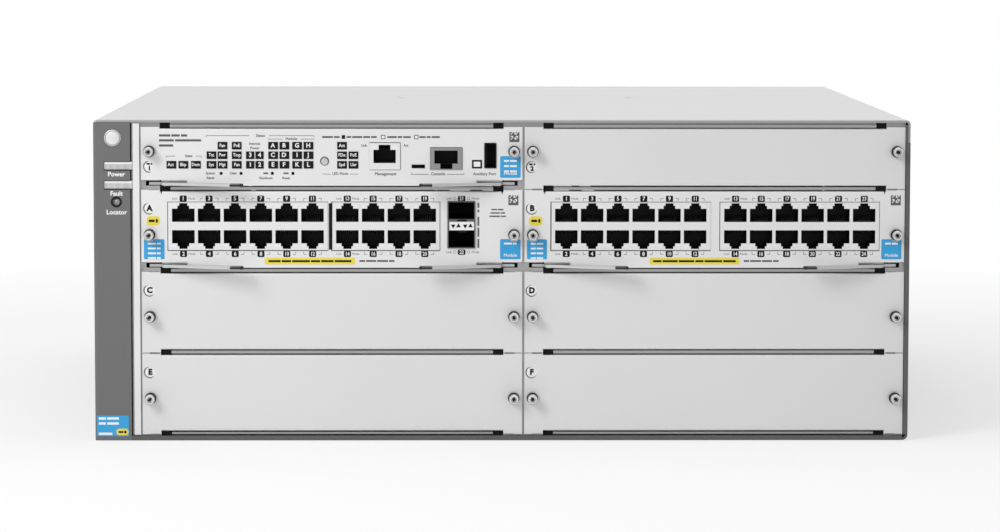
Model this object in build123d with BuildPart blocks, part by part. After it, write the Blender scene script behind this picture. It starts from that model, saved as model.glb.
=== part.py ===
from build123d import *
import math
import os

# Modular chassis switch, four rack units high. Millimetres.
# Frame: +X right seen from the front, -Y towards the viewer, +Z up.
# Origin: centre of the underside.

os.makedirs("parts", exist_ok=True)

# Chassis shell
chassis_width = 444.5
chassis_depth = 450.9
chassis_height = 175.3
sheet = 1.2
hem = 2 * sheet
hem_depth = 10.0
bottom_radius = 3.0
top_radius = 2.5
cover_lip = 1.5
cover_flange = 12.3
cover_gap = 0.1
cross_rail_depth = 14.0

front = -chassis_depth / 2
rear = chassis_depth / 2
left = -chassis_width / 2
right = chassis_width / 2
floor_top = sheet
cover_under = chassis_height - sheet
upstand_outer = chassis_width / 2 - sheet - cover_gap
upstand_inner = upstand_outer - sheet
flange_bottom = chassis_height - cover_flange
shell_top = cover_under - cover_gap
upstand_top = shell_top - top_radius + sheet

# Slots: three port rows of one rack unit each, and a lower row on top for management
row_pitch = 44.8
row_base = 3.0
port_rows = 3
management_height = 34.2
plate_width = 207.4
side_gap = 0.3
centre_gap = 1.2
management_floor = row_base + port_rows * row_pitch
row_floors = [row_base + row * row_pitch for row in range(port_rows + 1)]
row_heights = [row_pitch] * port_rows + [management_height]
slots_top = management_floor + management_height
bay_right = chassis_width / 2 - hem - side_gap - plate_width
bay_left = bay_right - centre_gap - plate_width
bays = [bay_left, bay_right]

# Face plates
plate_setback = 1.3
plate_sheet = 1.5
cover_sheet = 1.2
edge_gap = 0.2
bar_gap_below = 2.0
bar_gap_above = 1.1
end_tab = 10.2
seam_slit = (4.2, 9.6)
seam_slit_half = 0.5
notch_width = 1.6
notch_drop = 1.9
bend_radius = 0.8
plate_return = 9.0
return_inset = 16.0
plate_front = front + plate_setback
plate_back = plate_front + plate_sheet
mark_radius = 3.2
mark_depth = 0.3
mark_inset = 3.7
mark_lift = 34.0
management_mark_lift = 12.15

# Front frame and card guides
frame_gap = 0.35
frame_face = plate_back + frame_gap
frame_back = frame_face + sheet
bar_half = 0.8
bar_rise = 0.4
bar_depth = 8.0
guide_width = 5.7
guide_clearance = 0.15
guide_step = 17.0
guide_lift = 3.9
guide_fin = 1.2
guide_fin_rise = 4.5
top_bar_drop = 0.8
top_rail = (-0.05, 0.95)
top_rail_setback = 0.9
sill_gap = 0.6
bar_inset = end_tab + guide_width

# Trays, boards and the backplane
slide_gap = 0.3
pan_lift = guide_lift + slide_gap
pan_sheet = 1.2
pan_inset = end_tab + 0.7
pan_side = 13.0
board_sheet = 1.6
board_lift = pan_lift + pan_sheet + 3.0
board_inset = pan_inset + pan_sheet + 0.6
board_top = board_lift + board_sheet
standoff_radius = 2.5
backplane_front = front + 267.5
backplane_sheet = 3.0
socket_depth = 8.0
socket_width = 62.0
socket_height = 9.0
socket_slot = 2.2
tongue_width = 58.0
tongue_gap = 0.8
module_rear = backplane_front - socket_depth - 0.6

# Captive screws
screw_inset = 4.5
screw_lift = 20.0
management_screw_lift = 20.65
screw_head_radius = 2.7
screw_head_length = 6.3
screw_collar_radius = 3.5
screw_collar_length = 1.1
screw_recess_radius = 1.8
screw_recess_depth = 2.2
screw_shaft_radius = 1.5
screw_shaft_end = 9.0
screw_plate_hole = screw_shaft_radius + 0.2
screw_frame_hole = screw_shaft_radius + 0.4

# Ejector levers
lever_sheet = 1.5
lever_lift = 2.3
lever_pivot_inset = 13.5
lever_pivot_back = 3.2
lever_hub_radius = 3.4
lever_pin_radius = 1.5
lever_running_gap = 0.06
lever_claw = 9.3
lever_claw_width = 3.0
lever_length = 42.5
lever_tip_reach = 14.5
lever_tip_width = 7.0
lever_plate_gap = 0.7
lever_opening = 5.1
lever_cut_width = 25.0
claw_notch_low = 1.9
claw_notch_high = 4.6
claw_notch_inset = 2.5
lever_head_radius = 2.6
lever_head_height = 0.3
lever_pivot_y = plate_back + lever_pivot_back

# Network jacks, in blocks of stacked pairs
jack_pitch = 14.05
jack_width = 12.3
jack_height = 7.2
jack_tab_wide = 6.3
jack_tab_wide_height = 1.6
jack_tab_narrow = 4.4
jack_tab_narrow_height = 1.4
jack_upper_lift = 27.1
jack_lower_lift = 15.35
jack_depth = 13.5
block_lift = 11.6
block_rise = 26.2
block_depth = 26.0
shield_sheet = 0.3
shield_gap = 0.1
jack_proud = 0.35
module_blocks = {
    "a": [(14.5, 87.1, 22.9, 6), (104.1, 58.2, 112.1, 4)],
    "b": [(14.6, 87.0, 22.8, 6), (106.6, 87.0, 115.0, 6)],
}
cage_left = 166.7
cage_width = 15.0
cage_lift = 12.7
cage_height = 25.7
cage_depth = 52.0
cage_wall = 0.5
cage_band = 6.2
cage_proud = 1.0

# Side column, trim strip and lights
column_width = 20.0
column_depth = 14.0
column_wall = 2.0
column_round = 1.5
strip_gap = 0.8
strip_width = 3.5
strip_setback = 0.5
strip_tab = 3.0
pipe_width = 14.2
pipe_height = 4.8
pipe_levels = {"power_light_pipe": 150.3, "fault_light_pipe": 139.9}
pipe_setback = 0.4
locator_radius = 2.3
locator_place = 13.1
locator_level = 130.4
pipe_fit = 0.1
indicator_board_depth = 9.0
strip_right = bay_left - strip_gap
strip_left = strip_right - strip_width
column_right = left + column_width

# Fan tray, which slides out to the rear beside the card cage
bay_wall_x = strip_left + 0.8
fan_gap = 0.25
fan_level_gap = 0.3
fan_tray_front = front + 75.0
fan_pitch_y = 92.0
fan_pitch_z = 79.0
fan_bore = 37.0
fan_first_y = 44.0
fan_wall = 2.0
rotor_radius = 35.8
rotor_hub_radius = 15.0
rotor_length = 14.0
rotor_blades = 7
rotor_blade_sheet = 1.6
rotor_seat = 1.0
motor_plate = 2.0
strut_width = 4.0
fan_shaft_radius = 1.5
fan_shaft_gap = 0.05
fan_handle_reach = 20.0
fan_handle_radius = 3.0
fan_grip_low = 50.0
fan_grip_high = 120.0
vent_pitch = 15.5
vent_radius = 6.0
vent_columns = 11
vent_rows = 8

# Power supplies, side by side behind the backplane
supply_width = 190.0
supply_height = 80.0
supply_length = 170.0
supply_wall = 1.2
supply_spacing = 206.0
supply_centre = 11.0
supply_gap = 0.5
inlet_width = 27.4
inlet_height = 20.0
inlet_depth = 17.0
inlet_wall = 1.8
supply_fan_radius = 30.0
supply_handle_span = 50.0
supply_handle_reach = 26.0
supply_handle_radius = 3.0
latch_travel = 4.0
latch_width = 10.0
latch_height = 16.0
latch_reach = 9.0

# Management module, measured from the left edge and the floor of its slot
tile_width = 5.3
digit_tile_width = 4.5
tile_height = 4.1
tile_sheet = 0.3
tile_rows = [23.8, 18.6, 13.4]
tile_columns = [
    (16.6, (2,)), (23.1, (2,)), (29.9, (2,)),
    (38.4, (1, 2)), (44.4, (0, 1, 2)), (52.1, (0, 1, 2)),
    (71.9, (0, 1, 2)), (78.0, (0, 1, 2)), (84.9, (0, 1, 2)), (91.1, (0, 1, 2)),
    (109.3, (0, 1, 2)), (115.5, (1, 2)),
]
digit_columns = [(59.4, (1, 2)), (64.5, (1, 2))]
pinholes = {
    "reset_button": 43.6,
    "clear_button": 54.4,
    "shutdown_button": 71.4,
    "module_reset_button": 82.6,
}
pinhole_level = 8.7
pinhole_radius = 0.9
pin_button_radius = 1.6
pin_button_length = 5.0
button_gap = 0.25
pin_notch_gap = 0.5
mode_button_x = 99.9
mode_button_level = 15.2
mode_button_radius = 1.9
mode_button_proud = 1.0
mode_button_length = 9.0
button_travel = 0.8
switch_body = 6.0

# Cover screws: two on top over the backplane rail and three in each side flange
cover_screw_depth = 0.9
cover_screw_radius = 2.4
cover_screw_shaft = 1.4
cover_screw_length = 4.0
cover_screw_fit = 0.1
cover_screw_spacing = 140.0
cover_screw_centre = bay_right - centre_gap / 2
cover_screw_y = backplane_front + backplane_sheet + cross_rail_depth / 2
side_screw_z = chassis_height - 6.5
side_screw_middle = 10.0
side_screw_spacing = 170.0
top_screws = [(cover_screw_centre + side * cover_screw_spacing / 2, cover_screw_y)
              for side in (-1, 1)]
side_screws = [side_screw_middle + index * side_screw_spacing for index in (-1, 0, 1)]


def block(x, y, z, mode=Mode.ADD):
    """Add or cut a block between (low, high) limits along each axis."""
    with Locations(((x[0] + x[1]) / 2, (y[0] + y[1]) / 2, (z[0] + z[1]) / 2)):
        Box(x[1] - x[0], y[1] - y[0], z[1] - z[0], mode=mode)


def panel(x, z, mode=Mode.ADD):
    """Add or cut a rectangle between (low, high) limits in a sketch."""
    with Locations(((x[0] + x[1]) / 2, (z[0] + z[1]) / 2)):
        Rectangle(x[1] - x[0], z[1] - z[0], mode=mode)


def save(part, label):
    """Label a finished piece and write it."""
    part.label = label
    export_step(part, f"parts/{label}.step")


def screw_places(bay, row):
    """Centres of the two captive screws of a slot, as (x, z)."""
    lift = management_screw_lift if row == port_rows else screw_lift
    level = row_floors[row] + lift
    return [(bay + screw_inset, level), (bay + plate_width - screw_inset, level)]


def pivot_places(bay):
    """Lever pivot positions along X for the slot's two sides."""
    return [bay + lever_pivot_inset, bay + plate_width - lever_pivot_inset]


# Chassis tray: floor, side walls with a joggled top edge, and the rear wall
supply_openings = [
    (supply_centre + side * supply_spacing / 2 - supply_width / 2 - supply_gap,
     supply_centre + side * supply_spacing / 2 + supply_width / 2 + supply_gap)
    for side in (-1, 1)
]
fan_tray_left = left + sheet + fan_gap
fan_tray_right = bay_wall_x - fan_gap
fan_tray_bottom = floor_top + fan_level_gap
fan_tray_top = flange_bottom - sheet - 2 * fan_level_gap
rack_hole_radius = 1.65
rack_hole_first = 30.0
rack_hole_spacing = 40.0
rack_hole_low = 50.0
rack_hole_rise = 76.2
rack_hole_y = front + rack_hole_first + rack_hole_spacing / 2
rack_hole_z = rack_hole_low + rack_hole_rise / 2
vent_y = fan_tray_front + fan_first_y + fan_pitch_y / 2
vent_z = fan_tray_bottom + fan_pitch_z

with BuildPart() as chassis_tray:
    with BuildSketch(Plane.XZ.offset(-rear)) as wall_profile:
        panel((left, right), (0, flange_bottom - cover_gap))
        fillet(wall_profile.vertices().group_by(Axis.Y)[0], bottom_radius)
        with BuildSketch(mode=Mode.PRIVATE) as hollow:
            panel((left + sheet, right - sheet), (sheet, flange_bottom))
            fillet(hollow.vertices().group_by(Axis.Y)[0], bottom_radius - sheet)
        add(hollow.sketch, mode=Mode.SUBTRACT)
        for side in (-1, 1):
            ledge = sorted((side * upstand_inner, side * right))
            panel(ledge, (flange_bottom - cover_gap - sheet, flange_bottom - cover_gap))
            upstand = sorted((side * upstand_inner, side * upstand_outer))
            panel(upstand, (flange_bottom - cover_gap - sheet, upstand_top))
    extrude(amount=chassis_depth)
    block((column_right, right - bottom_radius), (front, front + hem_depth), (sheet, hem))
    block((right - hem, right - sheet), (front, front + hem_depth),
          (bottom_radius, flange_bottom - cover_gap))
    block((left - 1, column_right), (front - 1, front + column_depth),
          (-1, chassis_height), mode=Mode.SUBTRACT)
    block((left + sheet, column_right), (front + column_depth, front + column_depth + sheet),
          (sheet, flange_bottom - cover_gap - sheet))
    block((-upstand_inner, upstand_inner), (rear - sheet, rear), (sheet, shell_top))
    block((-upstand_inner, upstand_inner), (rear - cross_rail_depth, rear),
          (shell_top - sheet, shell_top))
    rail_front = backplane_front + backplane_sheet
    block((-upstand_inner, upstand_inner), (rail_front, rail_front + cross_rail_depth),
          (shell_top - sheet, shell_top))
    block((-upstand_inner, upstand_inner),
          (rail_front + cross_rail_depth - sheet, rail_front + cross_rail_depth),
          (flange_bottom + sheet, shell_top))
    for opening in supply_openings:
        block(opening, (rear - 2 * sheet, rear + 1),
              (floor_top, floor_top + supply_height + 2 * supply_gap), mode=Mode.SUBTRACT)
    block((left + sheet, bay_wall_x), (rear - 2 * sheet, rear + 1),
          (floor_top, flange_bottom - cover_gap - sheet), mode=Mode.SUBTRACT)
    with BuildSketch(Plane.YZ, mode=Mode.PRIVATE) as vents:
        for shift in (-0.25, 0.25):
            with Locations((vent_y + shift * vent_pitch, vent_z + shift * 0.866 * 2 * vent_pitch)):
                with GridLocations(vent_pitch, 2 * 0.866 * vent_pitch,
                                   vent_columns, vent_rows // 2):
                    RegularPolygon(vent_radius, 6, rotation=30)
        for dy in (-rack_hole_spacing / 2, rack_hole_spacing / 2):
            for dz in (-rack_hole_rise / 2, rack_hole_rise / 2):
                with Locations((rack_hole_y + dy, rack_hole_z + dz)):
                    Circle(rack_hole_radius)
    for side in (-1, 1):
        wall_openings = [Plane.YZ.offset(side * (right - 2 * sheet)) * face for face in vents.faces()]
        extrude(wall_openings, amount=3 * sheet, dir=(side, 0, 0), mode=Mode.SUBTRACT)
    with Locations([(x, y, shell_top) for x, y in top_screws]):
        Cylinder(cover_screw_shaft + cover_screw_fit, 3 * sheet, mode=Mode.SUBTRACT)
    with Locations([(side * upstand_outer, y, side_screw_z)
                    for side in (-1, 1) for y in side_screws]):
        Cylinder(cover_screw_shaft + cover_screw_fit, 3 * sheet, rotation=(0, 90, 0),
                 mode=Mode.SUBTRACT)
    with BuildSketch(Plane.XZ.offset(-rear)) as rear_vents:
        with Locations((supply_centre, 130)):
            with GridLocations(22, 14, 16, 4):
                SlotOverall(17, 6)
    extrude(amount=2 * sheet, mode=Mode.SUBTRACT)
save(chassis_tray.part, "chassis_tray")

# Top cover with side flanges, a front lip and recessed screw seats

with BuildPart() as top_cover:
    with BuildSketch(Plane.XZ.offset(-rear)) as cover_profile:
        panel((left, right), (flange_bottom, chassis_height))
        fillet(cover_profile.vertices().group_by(Axis.Y)[-1], top_radius)
        with BuildSketch(mode=Mode.PRIVATE) as cover_hollow:
            panel((left + sheet, right - sheet), (flange_bottom - 1, cover_under))
            fillet(cover_hollow.vertices().group_by(Axis.Y)[-1], top_radius - sheet)
        add(cover_hollow.sketch, mode=Mode.SUBTRACT)
    extrude(amount=chassis_depth)
    block((left - 1, column_right), (front - 1, front + column_depth),
          (flange_bottom - 1, cover_under), mode=Mode.SUBTRACT)
    block((column_right, upstand_inner), (front, front + sheet),
          (chassis_height - cover_lip, cover_under))
    cover_front = top_cover.edges().filter_by(Axis.X).group_by(Axis.Y)[0].sort_by(Axis.Z)[-1]
    fillet(cover_front, sheet * 0.7)
    with Locations([(x, y, chassis_height) for x, y in top_screws]):
        CounterBoreHole(cover_screw_shaft + cover_screw_fit,
                        cover_screw_radius + cover_screw_fit, cover_screw_depth)
    for radius, reach in ((cover_screw_radius, cover_screw_depth),
                          (cover_screw_shaft, 2 * sheet)):
        with Locations([(side * right, y, side_screw_z) for side in (-1, 1) for y in side_screws]):
            Cylinder(radius + cover_screw_fit, 2 * reach, rotation=(0, 90, 0),
                     mode=Mode.SUBTRACT)
save(top_cover.part, "top_cover")


def hex_head_screw():
    """One captive screw, turned about Y, with its collar on the plate at y = 0."""
    with BuildPart() as screw:
        with BuildSketch(Plane.XY) as half:
            with BuildLine():
                Polyline(
                    (0, -screw_head_length - screw_collar_length),
                    (screw_head_radius - 0.4, -screw_head_length - screw_collar_length),
                    (screw_head_radius, -screw_head_length - screw_collar_length + 0.4),
                    (screw_head_radius, -screw_collar_length),
                    (screw_collar_radius, -screw_collar_length),
                    (screw_collar_radius, 0),
                    (screw_shaft_radius, 0),
                    (screw_shaft_radius, screw_shaft_end),
                    (0, screw_shaft_end),
                    close=True,
                )
            make_face()
        revolve(axis=Axis.Y)
        tip = -screw_head_length - screw_collar_length
        with BuildSketch(Plane.XZ.offset(-tip)):
            RegularPolygon(screw_recess_radius, 6)
        extrude(amount=-screw_recess_depth, mode=Mode.SUBTRACT)
    return screw.part


screw_shape = hex_head_screw()


def screw_group(places):
    """Captive screws seated on the plates at the given (x, z) centres."""
    with BuildPart() as screws:
        with Locations([(x, plate_front, z) for x, z in places]):
            add(screw_shape)
    return screws.part


def face_outline(bay, row, lever_corners):
    """Sketch outline of a slot's plate, cut short between its end tabs."""
    low = row_floors[row]
    high = low + row_heights[row]
    edge = bay + plate_width
    shoulder = high - bar_gap_above
    panel((bay + end_tab - 1, edge - end_tab + 1), (low + bar_gap_below, shoulder))
    foot = low + (lever_opening if lever_corners else edge_gap)
    panel((bay, bay + end_tab), (foot, high - edge_gap))
    panel((edge - end_tab, edge), (foot, high - edge_gap))
    slits = [(bay + seam_slit[0], bay + seam_slit[1]),
             (edge - seam_slit[1], edge - seam_slit[0])]
    for slit in slits:
        if row < port_rows:
            panel(slit, (high - seam_slit_half, high + 1), mode=Mode.SUBTRACT)
        if not lever_corners:
            panel(slit, (low - 1, low + seam_slit_half), mode=Mode.SUBTRACT)
    if lever_corners:
        panel((bay - 1, bay + lever_cut_width), (low, foot), mode=Mode.SUBTRACT)
        panel((edge - lever_cut_width, edge + 1), (low, foot), mode=Mode.SUBTRACT)


def blank_cover(bay, row):
    """A folded blank cover with return flanges along its top and bottom."""
    low = row_floors[row] + bar_gap_below
    high = row_floors[row] + row_heights[row] - bar_gap_above
    edge = bay + plate_width
    mark_lift_here = management_mark_lift if row == port_rows else mark_lift
    with BuildPart() as cover:
        with BuildSketch(Plane.XZ.offset(-plate_front - cover_sheet)):
            face_outline(bay, row, False)
            with Locations(screw_places(bay, row)):
                Circle(screw_plate_hole, mode=Mode.SUBTRACT)
        extrude(amount=cover_sheet)
        for level in ((low, low + cover_sheet), (high - cover_sheet, high)):
            block((bay + return_inset, edge - return_inset),
                  (plate_front, plate_front + plate_return), level)
        bends = cover.edges().filter_by(Axis.X).group_by(Axis.Y)[0]
        outer = [bend for bend in bends if bend.length > plate_width / 2]
        fillet(outer, bend_radius)
        with Locations((bay + mark_inset, plate_front, row_floors[row] + mark_lift_here)):
            Cylinder(mark_radius, 2 * mark_depth, rotation=(90, 0, 0), mode=Mode.SUBTRACT)
    return cover.part


def module_plate(bay, row, windows, holes):
    """A module's face plate with the tray behind it that carries the circuit board."""
    low = row_floors[row]
    high = low + row_heights[row]
    edge = bay + plate_width
    mark_lift_here = management_mark_lift if row == port_rows else mark_lift
    with BuildPart() as module:
        with BuildSketch(Plane.XZ.offset(-plate_back)):
            face_outline(bay, row, True)
            with Locations(screw_places(bay, row)):
                Circle(screw_plate_hole, mode=Mode.SUBTRACT)
            for across, up in windows:
                panel(across, up, mode=Mode.SUBTRACT)
            for x, z, radius in holes:
                with Locations((x, z)):
                    Circle(radius, mode=Mode.SUBTRACT)
        extrude(amount=plate_sheet)
        block((bay + return_inset, edge - return_inset),
              (plate_front, plate_front + plate_return),
              (high - bar_gap_above - cover_sheet, high - bar_gap_above))
        bends = module.edges().filter_by(Axis.X).group_by(Axis.Y)[0].sort_by(Axis.Z)
        long_bends = [bend for bend in bends if bend.length > plate_width / 2]
        fillet(long_bends[-1], bend_radius)
        if row < port_rows:
            shoulder = high - bar_gap_above
            with BuildSketch(Plane.XZ.offset(-plate_back)):
                for x, way in ((bay + end_tab, 1), (edge - end_tab, -1)):
                    Polygon((x, shoulder + 1), (x + way * notch_width / 2, shoulder - notch_drop),
                            (x + way * notch_width, shoulder + 1), align=None)
            extrude(amount=plate_sheet, mode=Mode.SUBTRACT)
        sides = (bay + pan_inset, edge - pan_inset)
        block(sides, (plate_back, module_rear), (low + pan_lift, low + pan_lift + pan_sheet))
        for side in ((sides[0], sides[0] + pan_sheet), (sides[1] - pan_sheet, sides[1])):
            block(side, (plate_back, module_rear), (low + pan_lift, low + pan_lift + pan_side))
        with Locations((bay + mark_inset, plate_front, low + mark_lift_here)):
            Cylinder(mark_radius, 2 * mark_depth, rotation=(90, 0, 0), mode=Mode.SUBTRACT)
        posts = [(x, y, low + (pan_lift + pan_sheet + board_lift) / 2)
                 for x in (sides[0] + 12, (sides[0] + sides[1]) / 2, sides[1] - 12)
                 for y in (plate_back + 60, module_rear - 20)]
        with Locations(posts):
            Cylinder(standoff_radius, board_lift - pan_lift - pan_sheet)
        head_low = lever_lift - slide_gap - lever_head_height
        for x in pivot_places(bay):
            with Locations((x, lever_pivot_y, low + (head_low + pan_lift) / 2)):
                Cylinder(lever_pin_radius, pan_lift - head_low)
            with Locations((x, lever_pivot_y, low + head_low + lever_head_height / 2)):
                Cylinder(lever_head_radius, lever_head_height)
    return module.part


def circuit_board(bay, row):
    """A module's circuit board, with the edge tongue that enters the backplane socket."""
    low = row_floors[row]
    middle = bay + plate_width / 2
    reach = plate_width / 2 - board_inset
    with BuildPart() as board:
        block((middle - reach, middle + reach), (plate_back + 1.0, module_rear - 1.0),
              (low + board_lift, low + board_top))
        block((middle - tongue_width / 2, middle + tongue_width / 2),
              (module_rear - 1.0, backplane_front - tongue_gap),
              (low + board_lift, low + board_top))
        with Locations((middle, plate_back + 120, low + board_top + 3)):
            Box(38, 38, 6)
        with GridLocations(60, 40, 2, 2):
            with Locations((middle, plate_back + 200, low + board_top + 1.2)):
                Box(16, 22, 2.4)
    return board.part


def lever(bay, row, side):
    """An ejector lever: hub, claw and cranked blade, on a vertical pivot pin."""
    low = row_floors[row] + lever_lift
    tip_y = plate_front - lever_tip_reach
    near_y = plate_front - lever_plate_gap
    with BuildPart() as arm:
        with BuildSketch(Plane.XY.offset(low)):
            with BuildLine():
                crank = Polyline(
                    (-lever_hub_radius, lever_pivot_back + plate_sheet),
                    (-lever_hub_radius + 1.5, near_y - plate_front - 1.6),
                    (lever_cut_width - lever_pivot_inset - 4, near_y - plate_front - 5.2),
                    (lever_length - lever_tip_width, tip_y - plate_front),
                    (lever_length - 1.5, tip_y - plate_front),
                    (lever_length, tip_y - plate_front + 2.0),
                    (lever_length - 1.2, tip_y - plate_front + lever_tip_width),
                    (lever_cut_width - lever_pivot_inset - 1.5, near_y - plate_front),
                    (lever_hub_radius, near_y - plate_front + 2.4),
                    (lever_hub_radius, lever_pivot_back + plate_sheet),
                    close=True,
                )
            make_face()
            with Locations((0, lever_pivot_back + plate_sheet)):
                Circle(lever_hub_radius)
            panel((-lever_claw, 0),
                  (lever_pivot_back + plate_sheet - lever_claw_width / 2,
                   lever_pivot_back + plate_sheet + lever_claw_width / 2))
            with Locations((0, lever_pivot_back + plate_sheet)):
                Circle(lever_pin_radius + lever_running_gap, mode=Mode.SUBTRACT)
        extrude(amount=lever_sheet)
    pivot_x = pivot_places(bay)[side]
    shape = arm.part if side == 0 else arm.part.mirror(Plane.YZ)
    return Pos(pivot_x, plate_front, 0) * shape


# Front frame: vertical flanges that take the captive screws, and the slot crossbars
frame_low = hem
frame_high = shell_top
flange_spans = [
    (strip_left - 1.0, bay_left + end_tab),
    (bay_left + plate_width - end_tab, bay_right + end_tab),
    (bay_right + plate_width - end_tab, upstand_inner),
]
bar_levels = [level + bar_rise for level in row_floors[1:]]

with BuildPart() as front_frame:
    with BuildSketch(Plane.XZ.offset(-frame_back)):
        for span in flange_spans:
            panel(span, (frame_low, frame_high))
        for bay in bays:
            for row in range(port_rows + 1):
                with Locations(screw_places(bay, row)):
                    Circle(screw_frame_hole, mode=Mode.SUBTRACT)
                notch = (row_floors[row] + claw_notch_low, row_floors[row] + claw_notch_high)
                panel((bay + claw_notch_inset, bay + end_tab + 0.5), notch, mode=Mode.SUBTRACT)
                panel((bay + plate_width - end_tab - 0.5, bay + plate_width - claw_notch_inset),
                      notch, mode=Mode.SUBTRACT)
            across = (bay + bar_inset, bay + plate_width - bar_inset)
            for level in bar_levels:
                panel(across, (level - bar_half, level + bar_half))
            panel(across, (frame_low + sill_gap, row_base + bar_rise + bar_half))
            panel(across, (slots_top - top_bar_drop, frame_high))
    extrude(amount=sheet)
    for bay in bays:
        across = (bay + bar_inset, bay + plate_width - bar_inset)
        for level in bar_levels:
            for leg in (level - bar_half, level + bar_half - sheet / 2):
                block(across, (frame_face, frame_face + bar_depth), (leg, leg + sheet / 2))
        block(across, (front + top_rail_setback, frame_back),
              (slots_top + top_rail[0], slots_top + top_rail[1]))
save(front_frame.part, "front_frame")

# Card guides: black rails under both edges of every tray, and end blocks above the top row.
# Their front ends pass under the plates' bottom edges and under the heads of the lever pins.
guide_rise = min(bar_gap_below, lever_lift - slide_gap - lever_head_height) - guide_clearance
with BuildPart() as card_guides:
    for bay in bays:
        for side in (0, 1):
            start = bay + end_tab if side == 0 else bay + plate_width - bar_inset
            across = (start, start + guide_width)
            fin = (start, start + guide_fin) if side == 0 else (across[1] - guide_fin, across[1])
            fin = (fin[0] - guide_fin, fin[1] - guide_fin) if side == 0 else (
                fin[0] + guide_fin, fin[1] + guide_fin)
            for level in row_floors:
                under = level - bar_gap_above + guide_clearance
                lowest = frame_low if level == row_base else under
                foot = floor_top if level == row_base else under
                block(across, (frame_face, front + guide_step), (lowest, level + guide_rise))
                block(across, (front + guide_step, backplane_front), (foot, level + guide_lift))
                block(fin, (front + guide_step, backplane_front),
                      (foot, level + guide_lift + guide_fin_rise))
            block(across, (frame_face, front + guide_step), (slots_top - top_bar_drop, frame_high))
save(card_guides.part, "card_guides")

# Side column with its two light pipes and the locator lens
with BuildPart() as indicator_column:
    with BuildSketch(Plane.XZ.offset(-front)) as column_face:
        panel((left, column_right), (0, chassis_height))
        fillet(column_face.vertices().group_by(Axis.X)[0].sort_by(Axis.Y)[-1], top_radius)
        panel((left, column_right), (cover_under - cover_gap, chassis_height), mode=Mode.SUBTRACT)
    extrude(amount=-column_depth)
    outer_edge = indicator_column.edges().filter_by(Axis.Z).group_by(Axis.Y)[0].sort_by(Axis.X)[0]
    fillet(outer_edge, column_round)
    block((left + column_wall, column_right - column_wall),
          (front + column_wall, front + column_depth + 1),
          (column_wall, cover_under - 2 * column_wall), mode=Mode.SUBTRACT)
    for level in pipe_levels.values():
        block((column_right - pipe_width, column_right + 1),
              (front - 1, front + column_wall + 1),
              (level - pipe_height / 2, level + pipe_height / 2), mode=Mode.SUBTRACT)
    with Locations((left + locator_place, front + column_wall / 2, locator_level)):
        Cylinder(locator_radius, 2 * column_wall, rotation=(90, 0, 0), mode=Mode.SUBTRACT)
save(indicator_column.part, "indicator_column")

board_y = front + indicator_board_depth
for label, level in pipe_levels.items():
    with BuildPart() as light_pipe:
        block((column_right - pipe_width + pipe_fit, strip_left - pipe_fit),
              (front + pipe_setback, front + column_wall + 1),
              (level - pipe_height / 2 + pipe_fit, level + pipe_height / 2 - pipe_fit))
        block((column_right - pipe_width + 3, column_right - column_wall - 3),
              (front + column_wall, board_y),
              (level - pipe_height / 2 + 1, level + pipe_height / 2 - 1))
        face_edges = light_pipe.edges().filter_by(Axis.X).group_by(Axis.Y)[0]
        fillet(face_edges, 0.6)
    save(light_pipe.part, label)

with BuildPart() as locator_lens:
    with BuildSketch(Plane.XY) as lens_half:
        with BuildLine():
            Polyline((0, board_y - front), (0, 0))
            ThreePointArc((0, 0), (1.3, 0.25), (locator_radius - pipe_fit, 1.0))
            Polyline((locator_radius - pipe_fit, 1.0), (locator_radius - pipe_fit, column_wall),
                     (1.2, column_wall + 1.0), (1.2, board_y - front), (0, board_y - front))
        make_face()
    revolve(axis=Axis.Y)
save(Pos(left + locator_place, front, locator_level) * locator_lens.part, "locator_lens")

with BuildPart() as indicator_board:
    block((left + column_wall, column_right - column_wall), (board_y, board_y + board_sheet),
          (locator_level - 8, pipe_levels["power_light_pipe"] + 8))
save(indicator_board.part, "indicator_board")

with BuildPart() as trim_strip:
    with BuildSketch(Plane.XY.offset(row_base)):
        panel((strip_left, strip_right), (front + strip_setback, frame_face))
        panel((strip_left + sheet / 2, strip_right - sheet / 2),
              (front + strip_setback + sheet, frame_face), mode=Mode.SUBTRACT)
    extrude(amount=slots_top - row_base)
    block((strip_left, strip_right), (front + strip_setback + 0.3, frame_face),
          (slots_top - 0.5, slots_top + strip_tab - 1.2))
save(trim_strip.part, "trim_strip")

# Dividing walls inside the shell
with BuildPart() as centre_divider:
    block((bay_right - centre_gap, bay_right - centre_gap + sheet),
          (frame_back, backplane_front), (floor_top, shell_top))
    block((bay_right - 2 * centre_gap, bay_right + centre_gap), (front, front + hem_depth),
          (0, hem), mode=Mode.SUBTRACT)
save(centre_divider.part, "centre_divider")

with BuildPart() as fan_bay_wall:
    block((bay_wall_x, bay_wall_x + sheet), (frame_back, rear - sheet),
          (floor_top, flange_bottom))
    block((bay_wall_x - sheet, bay_wall_x + 2 * sheet), (front, front + hem_depth),
          (0, hem), mode=Mode.SUBTRACT)
    with BuildSketch(Plane.YZ.offset(bay_wall_x)):
        with Locations((vent_y, vent_z)):
            with GridLocations(fan_pitch_y / 2, fan_pitch_z / 2, 4, 4):
                RectangleRounded(34, 28, 3)
    extrude(amount=sheet, mode=Mode.SUBTRACT)
save(fan_bay_wall.part, "fan_bay_wall")

# Backplane and its sockets, one per slot
with BuildPart() as backplane_board:
    block((bay_wall_x + sheet, right - bottom_radius), (backplane_front, backplane_front + backplane_sheet),
          (floor_top, shell_top))
    with BuildSketch(Plane.XZ.offset(-backplane_front - backplane_sheet)):
        for bay in bays:
            for level in row_floors:
                with Locations((bay + plate_width / 2, level + 24)):
                    with GridLocations(150, 1, 2, 1):
                        SlotOverall(40, 12)
    extrude(amount=backplane_sheet, mode=Mode.SUBTRACT)
save(backplane_board.part, "backplane_board")

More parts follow.
